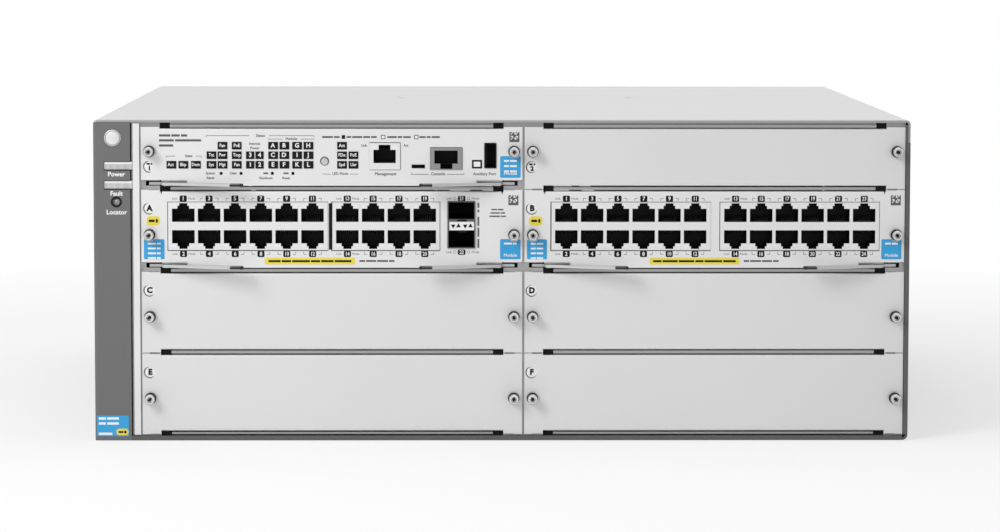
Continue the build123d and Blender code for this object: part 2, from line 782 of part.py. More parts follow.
with BuildPart() as backplane_sockets:
    for bay in bays:
        middle = bay + plate_width / 2
        for level in row_floors:
            board_middle = level + board_lift + board_sheet / 2
            block((middle - socket_width / 2, middle + socket_width / 2),
                  (backplane_front - socket_depth, backplane_front),
                  (board_middle - socket_height / 2, board_middle + socket_height / 2))
            block((middle - tongue_width / 2 - 0.5, middle + tongue_width / 2 + 0.5),
                  (backplane_front - socket_depth - 1, backplane_front - tongue_gap / 2),
                  (board_middle - socket_slot / 2, board_middle + socket_slot / 2),
                  mode=Mode.SUBTRACT)
save(backplane_sockets.part, "backplane_sockets")

# Cover screws
with BuildPart() as cover_screws:
    for x, y in top_screws:
        with Locations((x, y, chassis_height - cover_screw_depth / 2)):
            Cylinder(cover_screw_radius, cover_screw_depth)
        with Locations((x, y, chassis_height - cover_screw_length / 2)):
            Cylinder(cover_screw_shaft, cover_screw_length)
    for side in (-1, 1):
        for y in side_screws:
            with Locations((side * (right - cover_screw_depth / 2), y, side_screw_z)):
                Cylinder(cover_screw_radius, cover_screw_depth, rotation=(0, 90, 0))
            with Locations((side * (right - cover_screw_length / 2), y, side_screw_z)):
                Cylinder(cover_screw_shaft, cover_screw_length, rotation=(0, 90, 0))
save(cover_screws.part, "cover_screws")

# Blank covers and their captive screws
blanks = {
    "blank_cover_m2": (bay_right, 3),
    "blank_cover_c": (bay_left, 1),
    "blank_cover_d": (bay_right, 1),
    "blank_cover_e": (bay_left, 0),
    "blank_cover_f": (bay_right, 0),
}
for label, (bay, row) in blanks.items():
    save(blank_cover(bay, row), label)
blank_screw_places = [place for slot in blanks.values() for place in screw_places(*slot)]
save(screw_group(blank_screw_places), "blank_cover_screws")


def jack_outlines(centres, low):
    """Sketch the tabbed openings of stacked jack pairs at the given centres."""
    upper = (low + jack_upper_lift, low + jack_upper_lift + jack_height)
    lower = (low + jack_lower_lift, low + jack_lower_lift + jack_height)
    wide, narrow = jack_tab_wide_height, jack_tab_wide_height + jack_tab_narrow_height
    for x in centres:
        for body, tip in ((upper, 1), (lower, -1)):
            root = body[1] if tip == 1 else body[0]
            panel((x - jack_width / 2, x + jack_width / 2), body)
            panel((x - jack_tab_wide / 2, x + jack_tab_wide / 2),
                  sorted((root - tip, root + tip * wide)))
            panel((x - jack_tab_narrow / 2, x + jack_tab_narrow / 2),
                  sorted((root - tip, root + tip * narrow)))


def port_module(prefix, bay, row, has_cage):
    """Make a port module's pieces: plate, board, jacks, shields, screws and levers."""
    low = row_floors[row]
    blocks = [((bay + start, bay + start + length), [bay + first + jack_pitch * i
                                                    for i in range(count)])
              for start, length, first, count in module_blocks[prefix]]
    rise = (low + block_lift, low + block_lift + block_rise)
    windows = [(across, rise) for across, centres in blocks]
    cage = (bay + cage_left, bay + cage_left + cage_width)
    cage_rise = (low + cage_lift, low + cage_lift + cage_height)
    if has_cage:
        windows.append(((cage[0] - shield_gap, cage[1] + shield_gap),
                        (cage_rise[0] - shield_gap, cage_rise[1] + shield_gap)))
    save(module_plate(bay, row, windows, []), f"{prefix}_faceplate")
    save(circuit_board(bay, row), f"{prefix}_board")
    jack_front = plate_front - jack_proud
    inset = shield_gap + shield_sheet

    with BuildPart() as housings:
        for across, centres in blocks:
            block((across[0] + inset, across[1] - inset),
                  (jack_front + shield_sheet, jack_front + block_depth),
                  (rise[0] + inset, rise[1] - inset))
            block((across[0] + inset, across[1] - inset),
                  (plate_back + slide_gap, jack_front + block_depth),
                  (low + board_top, rise[0] + inset))
            with BuildSketch(Plane.XZ.offset(-jack_front - shield_sheet)):
                jack_outlines(centres, low)
            extrude(amount=-jack_depth, mode=Mode.SUBTRACT)
    save(housings.part, f"{prefix}_jack_housings")

    with BuildPart() as shields:
        for across, centres in blocks:
            outer = (across[0] + shield_gap, across[1] - shield_gap)
            block(outer, (jack_front, jack_front + block_depth),
                  (rise[0] + shield_gap, rise[1] - shield_gap))
            block((across[0] + inset, across[1] - inset),
                  (jack_front + shield_sheet, jack_front + block_depth + 1),
                  (rise[0] - 1, rise[1] - inset), mode=Mode.SUBTRACT)
            with BuildSketch(Plane.XZ.offset(-jack_front - shield_sheet)):
                jack_outlines(centres, low)
            extrude(amount=shield_sheet, mode=Mode.SUBTRACT)
    save(shields.part, f"{prefix}_jack_shields")

    if has_cage:
        bay_height = (cage_height - cage_band - 2 * cage_wall) / 2
        with BuildPart() as optical_cage:
            block(cage, (plate_front - cage_proud, plate_front + cage_depth), cage_rise)
            for floor in (cage_rise[0] + cage_wall, cage_rise[1] - cage_wall - bay_height):
                block((cage[0] + cage_wall, cage[1] - cage_wall),
                      (plate_front - cage_proud - 1, plate_front + cage_depth - 6),
                      (floor, floor + bay_height), mode=Mode.SUBTRACT)
            block((cage[0] + 1, cage[1] - 1), (plate_back + 2, plate_front + cage_depth),
                  (low + board_top, cage_rise[0]))
        save(optical_cage.part, f"{prefix}_optical_cage")

    save(screw_group(screw_places(bay, row)), f"{prefix}_screws")
    save(lever(bay, row, 0), f"{prefix}_lever_left")
    save(lever(bay, row, 1), f"{prefix}_lever_right")


port_module("a", bay_left, 2, True)
port_module("b", bay_right, 2, False)


# Management module
m_bay = bay_left
m_row = port_rows
m_floor = management_floor
jack_single_proud = 0.6
console_frame = ((157.2, 174.6), (10.8, 22.8))
console_mouth = ((159.5, 172.2), (14.1, 21.2))
console_tab = ((162.7, 169.3), (11.2, 14.6))
network_frame = ((124.0, 140.9), (10.8, 25.3))
network_mouth = ((126.4, 138.5), (14.4, 21.6))
network_tab = ((129.2, 135.6), (21.0, 24.3))
usb_frame = ((186.7, 193.2), (11.6, 25.3))
usb_wall = 0.5
usb_blade = 1.0
usb_blade_setback = 2.0
usb_blade_end_gap = 1.2
micro_frame = ((147.2, 154.3), (11.6, 13.5))
micro_wall = 0.35
usb_depth = 14.0
micro_depth = 5.5


def m_span(across, up):
    """Turn offsets from the module's corner into frame limits."""
    return (m_bay + across[0], m_bay + across[1]), (m_floor + up[0], m_floor + up[1])


def grown(span, margin):
    """Widen a (low, high) pair by a margin at each end."""
    return (span[0] - margin, span[1] + margin)


m_windows = [tuple(grown(span, shield_gap) for span in m_span(*frame))
             for frame in (console_frame, network_frame, usb_frame, micro_frame)]
m_holes = [(m_bay + x, m_floor + pinhole_level, pinhole_radius) for x in pinholes.values()]
m_holes.append((m_bay + mode_button_x, m_floor + mode_button_level,
                mode_button_radius + button_gap))
save(module_plate(m_bay, m_row, m_windows, m_holes), "management_faceplate")
save(screw_group(screw_places(m_bay, m_row)), "management_screws")
save(lever(m_bay, m_row, 0), "management_lever_left")
save(lever(m_bay, m_row, 1), "management_lever_right")

switch_front = plate_back + pin_button_length
mode_switch_front = plate_front - mode_button_proud + mode_button_length
with BuildPart() as management_board:
    add(circuit_board(m_bay, m_row))
    for x in pinholes.values():
        block(grown((m_bay + x, m_bay + x), pin_button_radius + pin_notch_gap),
              (plate_back, switch_front), (m_floor + board_lift - 1, m_floor + board_top + 1),
              mode=Mode.SUBTRACT)
        block(grown((m_bay + x, m_bay + x), switch_body / 2),
              (switch_front, switch_front + switch_body),
              grown((m_floor + pinhole_level, m_floor + pinhole_level), switch_body / 3))
    block((m_bay + mode_button_x - switch_body / 2, m_bay + mode_button_x + switch_body / 2),
          (mode_switch_front, mode_switch_front + switch_body),
          (m_floor + board_top, m_floor + mode_button_level + switch_body / 2))
save(management_board.part, "management_board")

for label, x in pinholes.items():
    with BuildPart() as pin_button:
        with BuildSketch(Plane.XZ.offset(-switch_front + slide_gap + button_travel)):
            with Locations((m_bay + x, m_floor + pinhole_level)):
                Circle(pin_button_radius)
        extrude(amount=pin_button_length - 2 * button_travel - slide_gap)
        fillet(pin_button.edges().group_by(Axis.Y)[0], 0.4)
    save(pin_button.part, label)

with BuildPart() as mode_button:
    with BuildSketch(Plane.XZ.offset(-mode_switch_front + slide_gap + button_travel)):
        with Locations((m_bay + mode_button_x, m_floor + mode_button_level)):
            Circle(mode_button_radius)
    extrude(amount=mode_button_length - slide_gap - button_travel)
    fillet(mode_button.edges().group_by(Axis.Y)[0], 0.5)
save(mode_button.part, "mode_button")


def single_jack(label, frame, mouth, tab):
    """A shielded single jack that stands on the board and shows through the plate."""
    across, up = m_span(*frame)
    with BuildPart() as jack:
        block(across, (plate_front - jack_single_proud, plate_front + block_depth - 8), up)
        block((across[0] + 0.5, across[1] - 0.5),
              (plate_back + slide_gap, plate_front + block_depth - 8),
              (m_floor + board_top, up[0]))
        for hollow in (mouth, tab):
            hollow_x, hollow_z = m_span(*hollow)
            block(hollow_x, (plate_front - 2, plate_front - jack_single_proud + jack_depth),
                  hollow_z, mode=Mode.SUBTRACT)
    save(jack.part, label)


single_jack("console_jack", console_frame, console_mouth, console_tab)
single_jack("management_jack", network_frame, network_mouth, network_tab)

usb_x, usb_z = m_span(*usb_frame)
with BuildPart() as usb_socket:
    block(usb_x, (plate_front - jack_single_proud, plate_front + usb_depth), usb_z)
    fillet(usb_socket.edges().filter_by(Axis.Y), 0.6)
    block(grown(usb_x, -usb_wall), (plate_front - 2, plate_front + usb_depth - 1),
          grown(usb_z, -usb_wall), mode=Mode.SUBTRACT)
    block((usb_x[0] + usb_wall, usb_x[0] + usb_wall + usb_blade),
          (plate_front + usb_blade_setback, plate_front + usb_depth),
          grown(usb_z, -usb_blade_end_gap))
    block((usb_x[0] + 1, usb_x[1] - 1), (plate_back + slide_gap, plate_front + usb_depth),
          (m_floor + board_top, usb_z[0] + usb_wall))
save(usb_socket.part, "usb_socket")

micro_x, micro_z = m_span(*micro_frame)
with BuildPart() as micro_usb_socket:
    block(micro_x, (plate_front - 0.2, plate_front + micro_depth), micro_z)
    fillet(micro_usb_socket.edges().filter_by(Axis.Y), 0.5)
    block(grown(micro_x, -micro_wall), (plate_front - 1, plate_front + micro_depth - 1),
          grown(micro_z, -micro_wall), mode=Mode.SUBTRACT)
    block((micro_x[0] + 1, micro_x[1] - 1), (plate_back + slide_gap, plate_front + micro_depth),
          (m_floor + board_top, micro_z[0] + micro_wall))
save(micro_usb_socket.part, "micro_usb_socket")

with BuildPart() as status_windows:
    with BuildSketch(Plane.XZ.offset(-plate_front)):
        for columns, width in ((tile_columns, tile_width), (digit_columns, digit_tile_width)):
            for x, rows in columns:
                with Locations([(m_bay + x, m_floor + tile_rows[row]) for row in rows]):
                    Rectangle(width, tile_height)
    extrude(amount=tile_sheet)
save(status_windows.part, "status_windows")

# Fan tray: a frame with four bores, motor mounts and an end panel with a handle
tray_rear = rear
fan_bottom = fan_tray_bottom
fan_places = [(fan_tray_front + fan_first_y + column * fan_pitch_y,
               fan_bottom + fan_pitch_z / 2 + 0.5 + row * fan_pitch_z)
              for row in (0, 1) for column in (0, 1)]
fans_end = fan_places[1][0] + fan_bore + 7
motor_face = fan_tray_left + motor_plate
with BuildPart() as fan_tray:
    with BuildSketch(Plane.YZ.offset(fan_tray_left)) as tray_side:
        panel((fan_tray_front, tray_rear), (fan_bottom, fan_tray_top))
        panel((fans_end, tray_rear - fan_wall),
              (fan_bottom + fan_wall, fan_tray_top - fan_wall), mode=Mode.SUBTRACT)
        with Locations(fan_places):
            Circle(fan_bore, mode=Mode.SUBTRACT)
    extrude(amount=fan_tray_right - fan_tray_left)
    low_edge = fan_tray.edges().filter_by(Axis.Y).group_by(Axis.Z)[0].sort_by(Axis.X)[0]
    fillet(low_edge, bottom_radius - sheet)
    with BuildSketch(Plane.YZ.offset(fan_tray_left)) as mounts:
        with Locations(fan_places):
            Circle(rotor_hub_radius)
            Rectangle(2 * fan_bore + 1, strut_width)
            Rectangle(strut_width, 2 * fan_bore + 1)
    extrude(amount=motor_plate)
    with BuildSketch(Plane.YZ.offset(motor_face)) as shafts:
        with Locations(fan_places):
            Circle(fan_shaft_radius)
    extrude(amount=rotor_seat + rotor_length - 2)
    grip_x = (fan_tray_left + fan_tray_right) / 2
    with BuildLine() as grip_path:
        FilletPolyline(
            (grip_x, tray_rear - fan_wall / 2, fan_grip_high),
            (grip_x, tray_rear + fan_handle_reach, fan_grip_high),
            (grip_x, tray_rear + fan_handle_reach, fan_grip_low),
            (grip_x, tray_rear - fan_wall / 2, fan_grip_low),
            radius=8,
        )
    with BuildSketch(Plane(grip_path.line @ 0, z_dir=grip_path.line % 0)):
        Circle(fan_handle_radius)
    sweep()
save(fan_tray.part, "fan_tray")

blade_chord = 15.0
with BuildPart() as rotor:
    with BuildSketch(Plane.YZ.offset(motor_face + rotor_seat)):
        Circle(rotor_hub_radius)
    extrude(amount=rotor_length)
    hub_rim = rotor.edges().filter_by(GeomType.CIRCLE).group_by(Axis.X)[-1]
    fillet(hub_rim, 1.5)
    with BuildSketch(Plane.YZ.offset(motor_face + rotor_seat)):
        Circle(fan_shaft_radius + fan_shaft_gap)
    extrude(amount=rotor_length - 2, mode=Mode.SUBTRACT)
    blade_plane = Plane(origin=(motor_face + rotor_seat + rotor_length / 2,
                                rotor_hub_radius - 1, 0),
                        x_dir=(0, 0, 1), z_dir=(0, 1, 0))
    with BuildSketch(blade_plane.rotated((0, 0, 38))) as root:
        Rectangle(blade_chord, rotor_blade_sheet)
    tip_plane = blade_plane.offset(rotor_radius - rotor_hub_radius + 1 - 3.4)
    with BuildSketch(tip_plane.rotated((0, 0, 24))) as tip:
        Rectangle(blade_chord + 8, rotor_blade_sheet * 0.8)
    blade = loft(mode=Mode.PRIVATE)
    for index in range(rotor_blades):
        add(blade.rotate(Axis.X, index * 360 / rotor_blades))
for index, (y, z) in enumerate(fan_places, start=1):
    save(Pos(0, y, z) * rotor.part, f"fan_rotor_{index}")


def power_supply(label, side):
    """A power supply case with its fan grille, inlet, handle and latch."""
    centre = supply_centre + side * supply_spacing / 2
    across = (centre - supply_width / 2, centre + supply_width / 2)
    base = floor_top + supply_gap
    up = (base, base + supply_height)
    deep = (rear - supply_length, rear)
    fan_x = across[0] + 52
    inlet_x = across[1] - 30
    latch_x = across[1] - 8 - latch_width / 2
    inlet_z = base + 26
    latch_z = base + supply_height - 16
    with BuildPart() as case:
        block(across, deep, up)
        block(grown(across, -supply_wall), grown(deep, -supply_wall), grown(up, -supply_wall),
              mode=Mode.SUBTRACT)
        block((inlet_x - inlet_width / 2 - inlet_wall, inlet_x + inlet_width / 2 + inlet_wall),
              (rear - inlet_depth - inlet_wall, rear + 1.5),
              (inlet_z - inlet_height / 2 - inlet_wall, inlet_z + inlet_height / 2 + inlet_wall))
        block((inlet_x - inlet_width / 2, inlet_x + inlet_width / 2),
              (rear - inlet_depth, rear + 3),
              (inlet_z - inlet_height / 2, inlet_z + inlet_height / 2), mode=Mode.SUBTRACT)
        with Locations([(inlet_x + dx, rear - inlet_depth + 6, inlet_z + dz)
                        for dx, dz in ((-7, -2), (7, -2), (0, 3))]):
            Box(2, 12, 4)
        with BuildSketch(Plane.XZ.offset(-rear)) as grille:
            with Locations((fan_x, base + supply_height / 2)):
                for radius in (10, 16, 22, 28):
                    Circle(radius + 2)
                    Circle(radius - 2, mode=Mode.SUBTRACT)
                for angle in (45, 135):
                    Rectangle(2 * supply_fan_radius + 4, 3, rotation=angle, mode=Mode.SUBTRACT)
        extrude(amount=2 * supply_wall, mode=Mode.SUBTRACT)
        block((latch_x - latch_travel - latch_width / 2 - 0.5, latch_x + latch_width / 2 + 0.5),
              (rear - 2 * supply_wall, rear + 1), (latch_z - 3.5, latch_z + 3.5),
              mode=Mode.SUBTRACT)
        block((centre - 30, centre + 30), (deep[0] - 6, deep[0] + 1), (base + 36, base + 37.6))
        handle_x = centre + 8
        handle_z = (base + supply_height / 2 - supply_handle_span / 2,
                    base + supply_height / 2 + supply_handle_span / 2)
        with BuildLine() as grip:
            FilletPolyline(
                (handle_x, rear - supply_wall / 2, handle_z[0]),
                (handle_x, rear + supply_handle_reach, handle_z[0]),
                (handle_x, rear + supply_handle_reach, handle_z[1]),
                (handle_x, rear - supply_wall / 2, handle_z[1]),
                radius=6,
            )
        with BuildSketch(Plane(grip.line @ 0, z_dir=grip.line % 0)):
            Circle(supply_handle_radius)
        sweep()
    save(case.part, f"{label}_case")
    with BuildPart() as latch:
        block((latch_x - latch_width / 2, latch_x + latch_width / 2),
              (rear - 6, rear + latch_reach), (latch_z - 3, latch_z + 3))
        block((latch_x - latch_width / 2 - 3, latch_x + latch_width / 2 + 3),
              (rear - 8, rear - supply_wall - slide_gap), (latch_z - 7, latch_z + 7))
        fillet(latch.edges().group_by(Axis.Y)[-1], 1.2)
    save(latch.part, f"{label}_latch")


power_supply("psu_left", -1)
power_supply("psu_right", 1)
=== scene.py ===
"""Looks of a modular chassis switch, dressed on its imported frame.

Metres, +X right seen from the front, -Y towards the viewer, +Z up.
"""
import logging
import math
from dataclasses import dataclass, field
from enum import Enum

import bpy
from mathutils import Matrix, Vector


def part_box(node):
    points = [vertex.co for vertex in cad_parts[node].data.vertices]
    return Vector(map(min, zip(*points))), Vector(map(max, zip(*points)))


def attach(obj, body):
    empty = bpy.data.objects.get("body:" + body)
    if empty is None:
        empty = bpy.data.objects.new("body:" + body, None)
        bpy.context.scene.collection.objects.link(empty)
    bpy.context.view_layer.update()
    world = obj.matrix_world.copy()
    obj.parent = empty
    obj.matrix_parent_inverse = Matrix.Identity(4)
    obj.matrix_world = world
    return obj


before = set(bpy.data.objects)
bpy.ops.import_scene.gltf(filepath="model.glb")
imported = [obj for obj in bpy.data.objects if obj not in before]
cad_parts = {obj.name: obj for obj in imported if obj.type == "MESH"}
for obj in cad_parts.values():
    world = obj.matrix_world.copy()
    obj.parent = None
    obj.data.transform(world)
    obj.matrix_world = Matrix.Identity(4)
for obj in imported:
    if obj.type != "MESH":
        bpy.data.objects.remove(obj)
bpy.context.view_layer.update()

LOG = logging.getLogger("switch")
MM = 0.001
Span = tuple[float, float]
Box = tuple[float, float, float, float]
Colour = tuple[float, float, float]


def grey(level: float) -> Colour:
    """Linear colour of an sRGB grey level from 0 to 255."""
    return (shade(level), shade(level), shade(level))


def shade(level: float) -> float:
    """Linear value of one sRGB level from 0 to 255."""
    value = level / 255
    return value / 12.92 if value <= 0.04045 else ((value + 0.055) / 1.055) ** 2.4


def rgb(red: float, green: float, blue: float) -> Colour:
    """Linear colour of an sRGB triple from 0 to 255."""
    return (shade(red), shade(green), shade(blue))


class Grain(Enum):
    """How a finish breaks up the light."""

    POWDER = "powder coat"
    BRUSHED = "brushed along the width"
    MOULDED = "moulded plastic"
    SMOOTH = "smooth"
    STREAKED = "upright streaks"


class NodeGroups:
    """Shader node groups shared by the finishes, each built once."""

    def __init__(self) -> None:
        """Start with no group made."""
        self._made: dict[str, bpy.types.NodeTree] = {}

    def get(self, kind: Grain) -> bpy.types.NodeTree:
        """Find or build the group of a grain.

        Args:
            kind: the grain wanted.

        Returns:
            The node tree, with Colour, Roughness, Fine, Depth and Mottle inputs.
        """
        if kind.name not in self._made:
            self._made[kind.name] = self._build(kind)
        return self._made[kind.name]

    def _build(self, kind: Grain) -> bpy.types.NodeTree:
        """Build one grain group.

        Args:
            kind: the grain to build.

        Returns:
            The new node tree.
        """
        tree = bpy.data.node_groups.new(f"grain_{kind.name.lower()}", "ShaderNodeTree")
        face = tree.interface
        face.new_socket("Colour", in_out="INPUT", socket_type="NodeSocketColor")
        for name, value in (("Roughness", 0.4), ("Fine", 900.0), ("Depth", 0.02),
                            ("Mottle", 0.05)):
            socket = face.new_socket(name, in_out="INPUT", socket_type="NodeSocketFloat")
            socket.default_value = value
        face.new_socket("Colour", in_out="OUTPUT", socket_type="NodeSocketColor")
        face.new_socket("Roughness", in_out="OUTPUT", socket_type="NodeSocketFloat")
        face.new_socket("Normal", in_out="OUTPUT", socket_type="NodeSocketVector")
        nodes, links = tree.nodes, tree.links
        start = nodes.new("NodeGroupInput")
        end = nodes.new("NodeGroupOutput")
        place = nodes.new("ShaderNodeTexCoord")
        stretch = nodes.new("ShaderNodeMapping")
        stretch.inputs["Scale"].default_value = {
            Grain.BRUSHED: (0.03, 1.0, 1.0),
            Grain.STREAKED: (1.0, 1.0, 0.04)}.get(kind, (1.0, 1.0, 1.0))
        links.new(place.outputs["Object"], stretch.inputs["Vector"])
        fine = nodes.new("ShaderNodeTexNoise")
        fine.inputs["Detail"].default_value = 3.0
        links.new(stretch.outputs["Vector"], fine.inputs["Vector"])
        links.new(start.outputs["Fine"], fine.inputs["Scale"])
        broad = nodes.new("ShaderNodeTexNoise")
        broad.inputs["Scale"].default_value = 9.0
        broad.inputs["Detail"].default_value = 2.0
        links.new(place.outputs["Object"], broad.inputs["Vector"])
        tone = nodes.new("ShaderNodeMath")
        tone.operation = "MULTIPLY_ADD"
        blotch = fine if kind is Grain.STREAKED else broad
        links.new(blotch.outputs["Fac"], tone.inputs[0])
        links.new(start.outputs["Mottle"], tone.inputs[1])
        base = nodes.new("ShaderNodeMath")
        base.operation = "MULTIPLY_ADD"
        base.inputs[1].default_value = -0.5
        base.inputs[2].default_value = 1.0
        links.new(start.outputs["Mottle"], base.inputs[0])
        links.new(base.outputs[0], tone.inputs[2])
        tint = nodes.new("ShaderNodeMix")
        tint.data_type = "RGBA"
        tint.blend_type = "MULTIPLY"
        tint.inputs["Factor"].default_value = 1.0
        links.new(start.outputs["Colour"], tint.inputs["A"])
        links.new(tone.outputs[0], tint.inputs["B"])
        links.new(tint.outputs["Result"], end.inputs["Colour"])
        rough = nodes.new("ShaderNodeMath")
        rough.operation = "MULTIPLY"
        links.new(start.outputs["Roughness"], rough.inputs[0])
        ripple = nodes.new("ShaderNodeMapRange")
        ripple.inputs["To Min"].default_value = 0.88
        ripple.inputs["To Max"].default_value = 1.12
        links.new(fine.outputs["Fac"], ripple.inputs["Value"])
        links.new(ripple.outputs["Result"], rough.inputs[1])
        links.new(rough.outputs[0], end.inputs["Roughness"])
        bump = nodes.new("ShaderNodeBump")
        bump.inputs["Distance"].default_value = 0.0001
        links.new(start.outputs["Depth"], bump.inputs["Strength"])
        links.new(fine.outputs["Fac"], bump.inputs["Height"])
        links.new(bump.outputs["Normal"], end.inputs["Normal"])
        return tree


GROUPS = NodeGroups()


# Places of a Mix node's colour sockets
MIX_A, MIX_B, MIX_RESULT = 6, 7, 2


@dataclass(frozen=True)
class Finish:
    """One finish: a colour, a gloss and a grain."""

    name: str
    colour: Colour
    roughness: float = 0.45
    metallic: float = 0.0
    grain: Grain = Grain.SMOOTH
    fine: float = 1500.0
    depth: float = 0.05
    mottle: float = 0.04
    coat: float = 0.0
    specular: float = 0.5
    coat_roughness: float = 0.25
    # Colour of the sides away from the front: painted shade and reflection.
    side_colour: Colour | None = None

    def build(self) -> bpy.types.Material:
        """Make the material.

        Returns:
            The finished material.
        """
        material = bpy.data.materials.new(self.name)
        material.use_nodes = True
        nodes, links = material.node_tree.nodes, material.node_tree.links
        shader = nodes["Principled BSDF"]
        group = nodes.new("ShaderNodeGroup")
        group.node_tree = GROUPS.get(self.grain)
        group.inputs["Colour"].default_value = (*self.colour, 1.0)
        group.inputs["Roughness"].default_value = self.roughness
        group.inputs["Fine"].default_value = self.fine
        group.inputs["Depth"].default_value = self.depth
        group.inputs["Mottle"].default_value = self.mottle
        # Sides get their own darker colour: painted shade and reflection.
        if self.side_colour is not None:
            links.new(self._by_facing(nodes, links), group.inputs["Colour"])
        links.new(group.outputs["Colour"], shader.inputs["Base Color"])
        links.new(group.outputs["Roughness"], shader.inputs["Roughness"])
        links.new(group.outputs["Normal"], shader.inputs["Normal"])
        shader.inputs["Metallic"].default_value = self.metallic
        shader.inputs["Specular IOR Level"].default_value = self.specular
        shader.inputs["Coat Weight"].default_value = self.coat
        shader.inputs["Coat Roughness"].default_value = self.coat_roughness
        return material

    def _by_facing(self, nodes: bpy.types.Nodes,
                   links: bpy.types.NodeLinks) -> bpy.types.NodeSocket:
        """Mix the front colour with a darker side colour by the surface's own normal: painted shade
        and reflection on the sides.

        Args:
            nodes: the material's nodes.
            links: the material's links.

        Returns:
            The socket that holds the mixed colour.
        """
        shape = nodes.new("ShaderNodeNewGeometry")
        parts = nodes.new("ShaderNodeSeparateXYZ")
        links.new(shape.outputs["True Normal"], parts.inputs["Vector"])
        facing = nodes.new("ShaderNodeMath")
        facing.operation = "ABSOLUTE"
        links.new(parts.outputs["Y"], facing.inputs[0])
        mix = nodes.new("ShaderNodeMix")
        mix.data_type = "RGBA"
        links.new(facing.outputs[0], mix.inputs["Factor"])
        mix.inputs[MIX_A].default_value = (*self.side_colour, 1.0)
        mix.inputs[MIX_B].default_value = (*self.colour, 1.0)
        return mix.outputs[MIX_RESULT]


BOOK: tuple[Finish, ...] = (
    Finish("chassis_grey", grey(84), 0.42, 0.1, Grain.POWDER, 2600, 0.16, 0.06, coat=0.4),
    # Same dark paint as the chassis, painted lighter to stand for the light on its top.
    Finish("cover_painted_lit_grey", grey(152), 0.36, 0.1, Grain.POWDER, 2600, 0.10, 0.06, coat=0.9),
    Finish("column_grey", grey(104), 0.55, 0.0, Grain.MOULDED, 3000, 0.14, 0.05),
    Finish("plate_silver", grey(228), 0.42, 0.35, Grain.BRUSHED, 2400, 0.04, 0.05),
    Finish("blank_silver", grey(222), 0.42, 0.35, Grain.BRUSHED, 2400, 0.04, 0.06),
    Finish("shield_tin", grey(228), 0.4, 0.35, Grain.BRUSHED, 2600, 0.05, 0.06),
    Finish("cage_steel", grey(96), 0.42, 0.6, Grain.BRUSHED, 2600, 0.05, 0.06),
    Finish("inner_zinc", grey(150), 0.45, 0.75, Grain.BRUSHED, 1600, 0.10, 0.12),
    Finish("bar_zinc", grey(168), 0.38, 0.75, Grain.BRUSHED, 2200, 0.08, 0.08),
    # Chrome screw heads with dark sides: painted shade and reflection on the sides.
    Finish("screw_bright", grey(222), 0.25, 0.85, Grain.SMOOTH, 3000, 0.03, 0.04,
           side_colour=grey(70)),
    Finish("lever_silver", grey(196), 0.34, 0.7, Grain.BRUSHED, 2600, 0.06, 0.05),
    # Black of the lever grips, also used for the painted shade rings round the screw heads.
    Finish("grip_and_shade_black", grey(46), 0.5, 0.0, Grain.MOULDED, 3000, 0.12, 0.05, specular=0.15),
    Finish("black_moulded", grey(28), 0.5, 0.0, Grain.MOULDED, 3000, 0.15, 0.10, specular=0.15),
    Finish("guide_black", grey(14), 0.55, 0.0, Grain.MOULDED, 3000, 0.12, 0.08, specular=0.15),
    Finish("lens_grey", grey(138), 0.25, 0.0, Grain.SMOOTH, 3000, 0.0, 0.05, coat=0.6),
    Finish("jack_steel", grey(146), 0.4, 0.5, Grain.BRUSHED, 2600, 0.05, 0.06),
    Finish("jack_black", grey(20), 0.42, 0.0, Grain.MOULDED, 3200, 0.12, 0.10, specular=0.15),
    Finish("board_green", rgb(28, 92, 52), 0.4, 0.0, Grain.MOULDED, 900, 0.25, 0.25),
    # Black print, also used for the painted shade under the light pipes.
    Finish("print_and_shade_black", grey(22), 0.45, 0.0, Grain.SMOOTH, 3000, 0.0, 0.02, specular=0.15),
    # Grey print, also used for the painted shade round the slot letters' recesses.
    Finish("print_and_shade_grey", grey(86), 0.5, 0.0, Grain.SMOOTH, 3000, 0.0, 0.02),
    Finish("print_white", grey(238), 0.5, 0.0, Grain.SMOOTH, 3000, 0.0, 0.02),
    Finish("label_blue", rgb(46, 160, 218), 0.42, 0.0, Grain.SMOOTH, 3000, 0.0, 0.05),
    Finish("label_yellow", rgb(232, 214, 70), 0.42, 0.0, Grain.SMOOTH, 3000, 0.0, 0.05),
    Finish("badge_silver", grey(228), 0.3, 0.5, Grain.SMOOTH, 3000, 0.02, 0.03),
    Finish("pipe_frosted", grey(190), 0.3, 0.0, Grain.STREAKED, 800, 0.10, 0.7, coat=0.6),
    # Painted highlight along the light pipes' tops.
    Finish("pipe_painted_highlight", grey(238), 0.25, 0.0, Grain.STREAKED, 1500, 0.05, 0.2, coat=0.6),
    Finish("contact_tin", grey(84), 0.4, 0.6, Grain.SMOOTH, 3000, 0.0, 0.03),
    Finish("window_clear", grey(236), 0.25, 0.0, Grain.SMOOTH, 3000, 0.0, 0.03),
    Finish("screw_dark", grey(40), 0.45, 0.5, Grain.SMOOTH, 3000, 0.02, 0.05),
    Finish("button_pale", grey(196), 0.4, 0.0, Grain.MOULDED, 3000, 0.05, 0.04),
    Finish("latch_red", rgb(150, 42, 32), 0.45, 0.0, Grain.MOULDED, 3000, 0.1, 0.05),
)


class Paints:
    """Every finish on the object, built on first use."""

    def __init__(self) -> None:
        """Start with no material made."""
        self._book = {finish.name: finish for finish in BOOK}
        self._made: dict[str, bpy.types.Material] = {}

    def get(self, name: str) -> bpy.types.Material:
        """Find or build the material of a finish by its name."""
        if name not in self._made:
            self._made[name] = self._book[name].build()
        return self._made[name]

    def dress(self, piece: bpy.types.Object, name: str) -> None:
        """Give a piece one finish all over.

        Args:
            piece: the object to dress.
            name: the finish.
        """
        piece.data.materials.clear()
        piece.data.materials.append(self.get(name))


PAINTS = Paints()


@dataclass(frozen=True)
class Patch:
    """A flat area on a face: its middle and its size, in metres."""

    x: float
    z: float
    wide: float = 0.0
    tall: float = 0.0


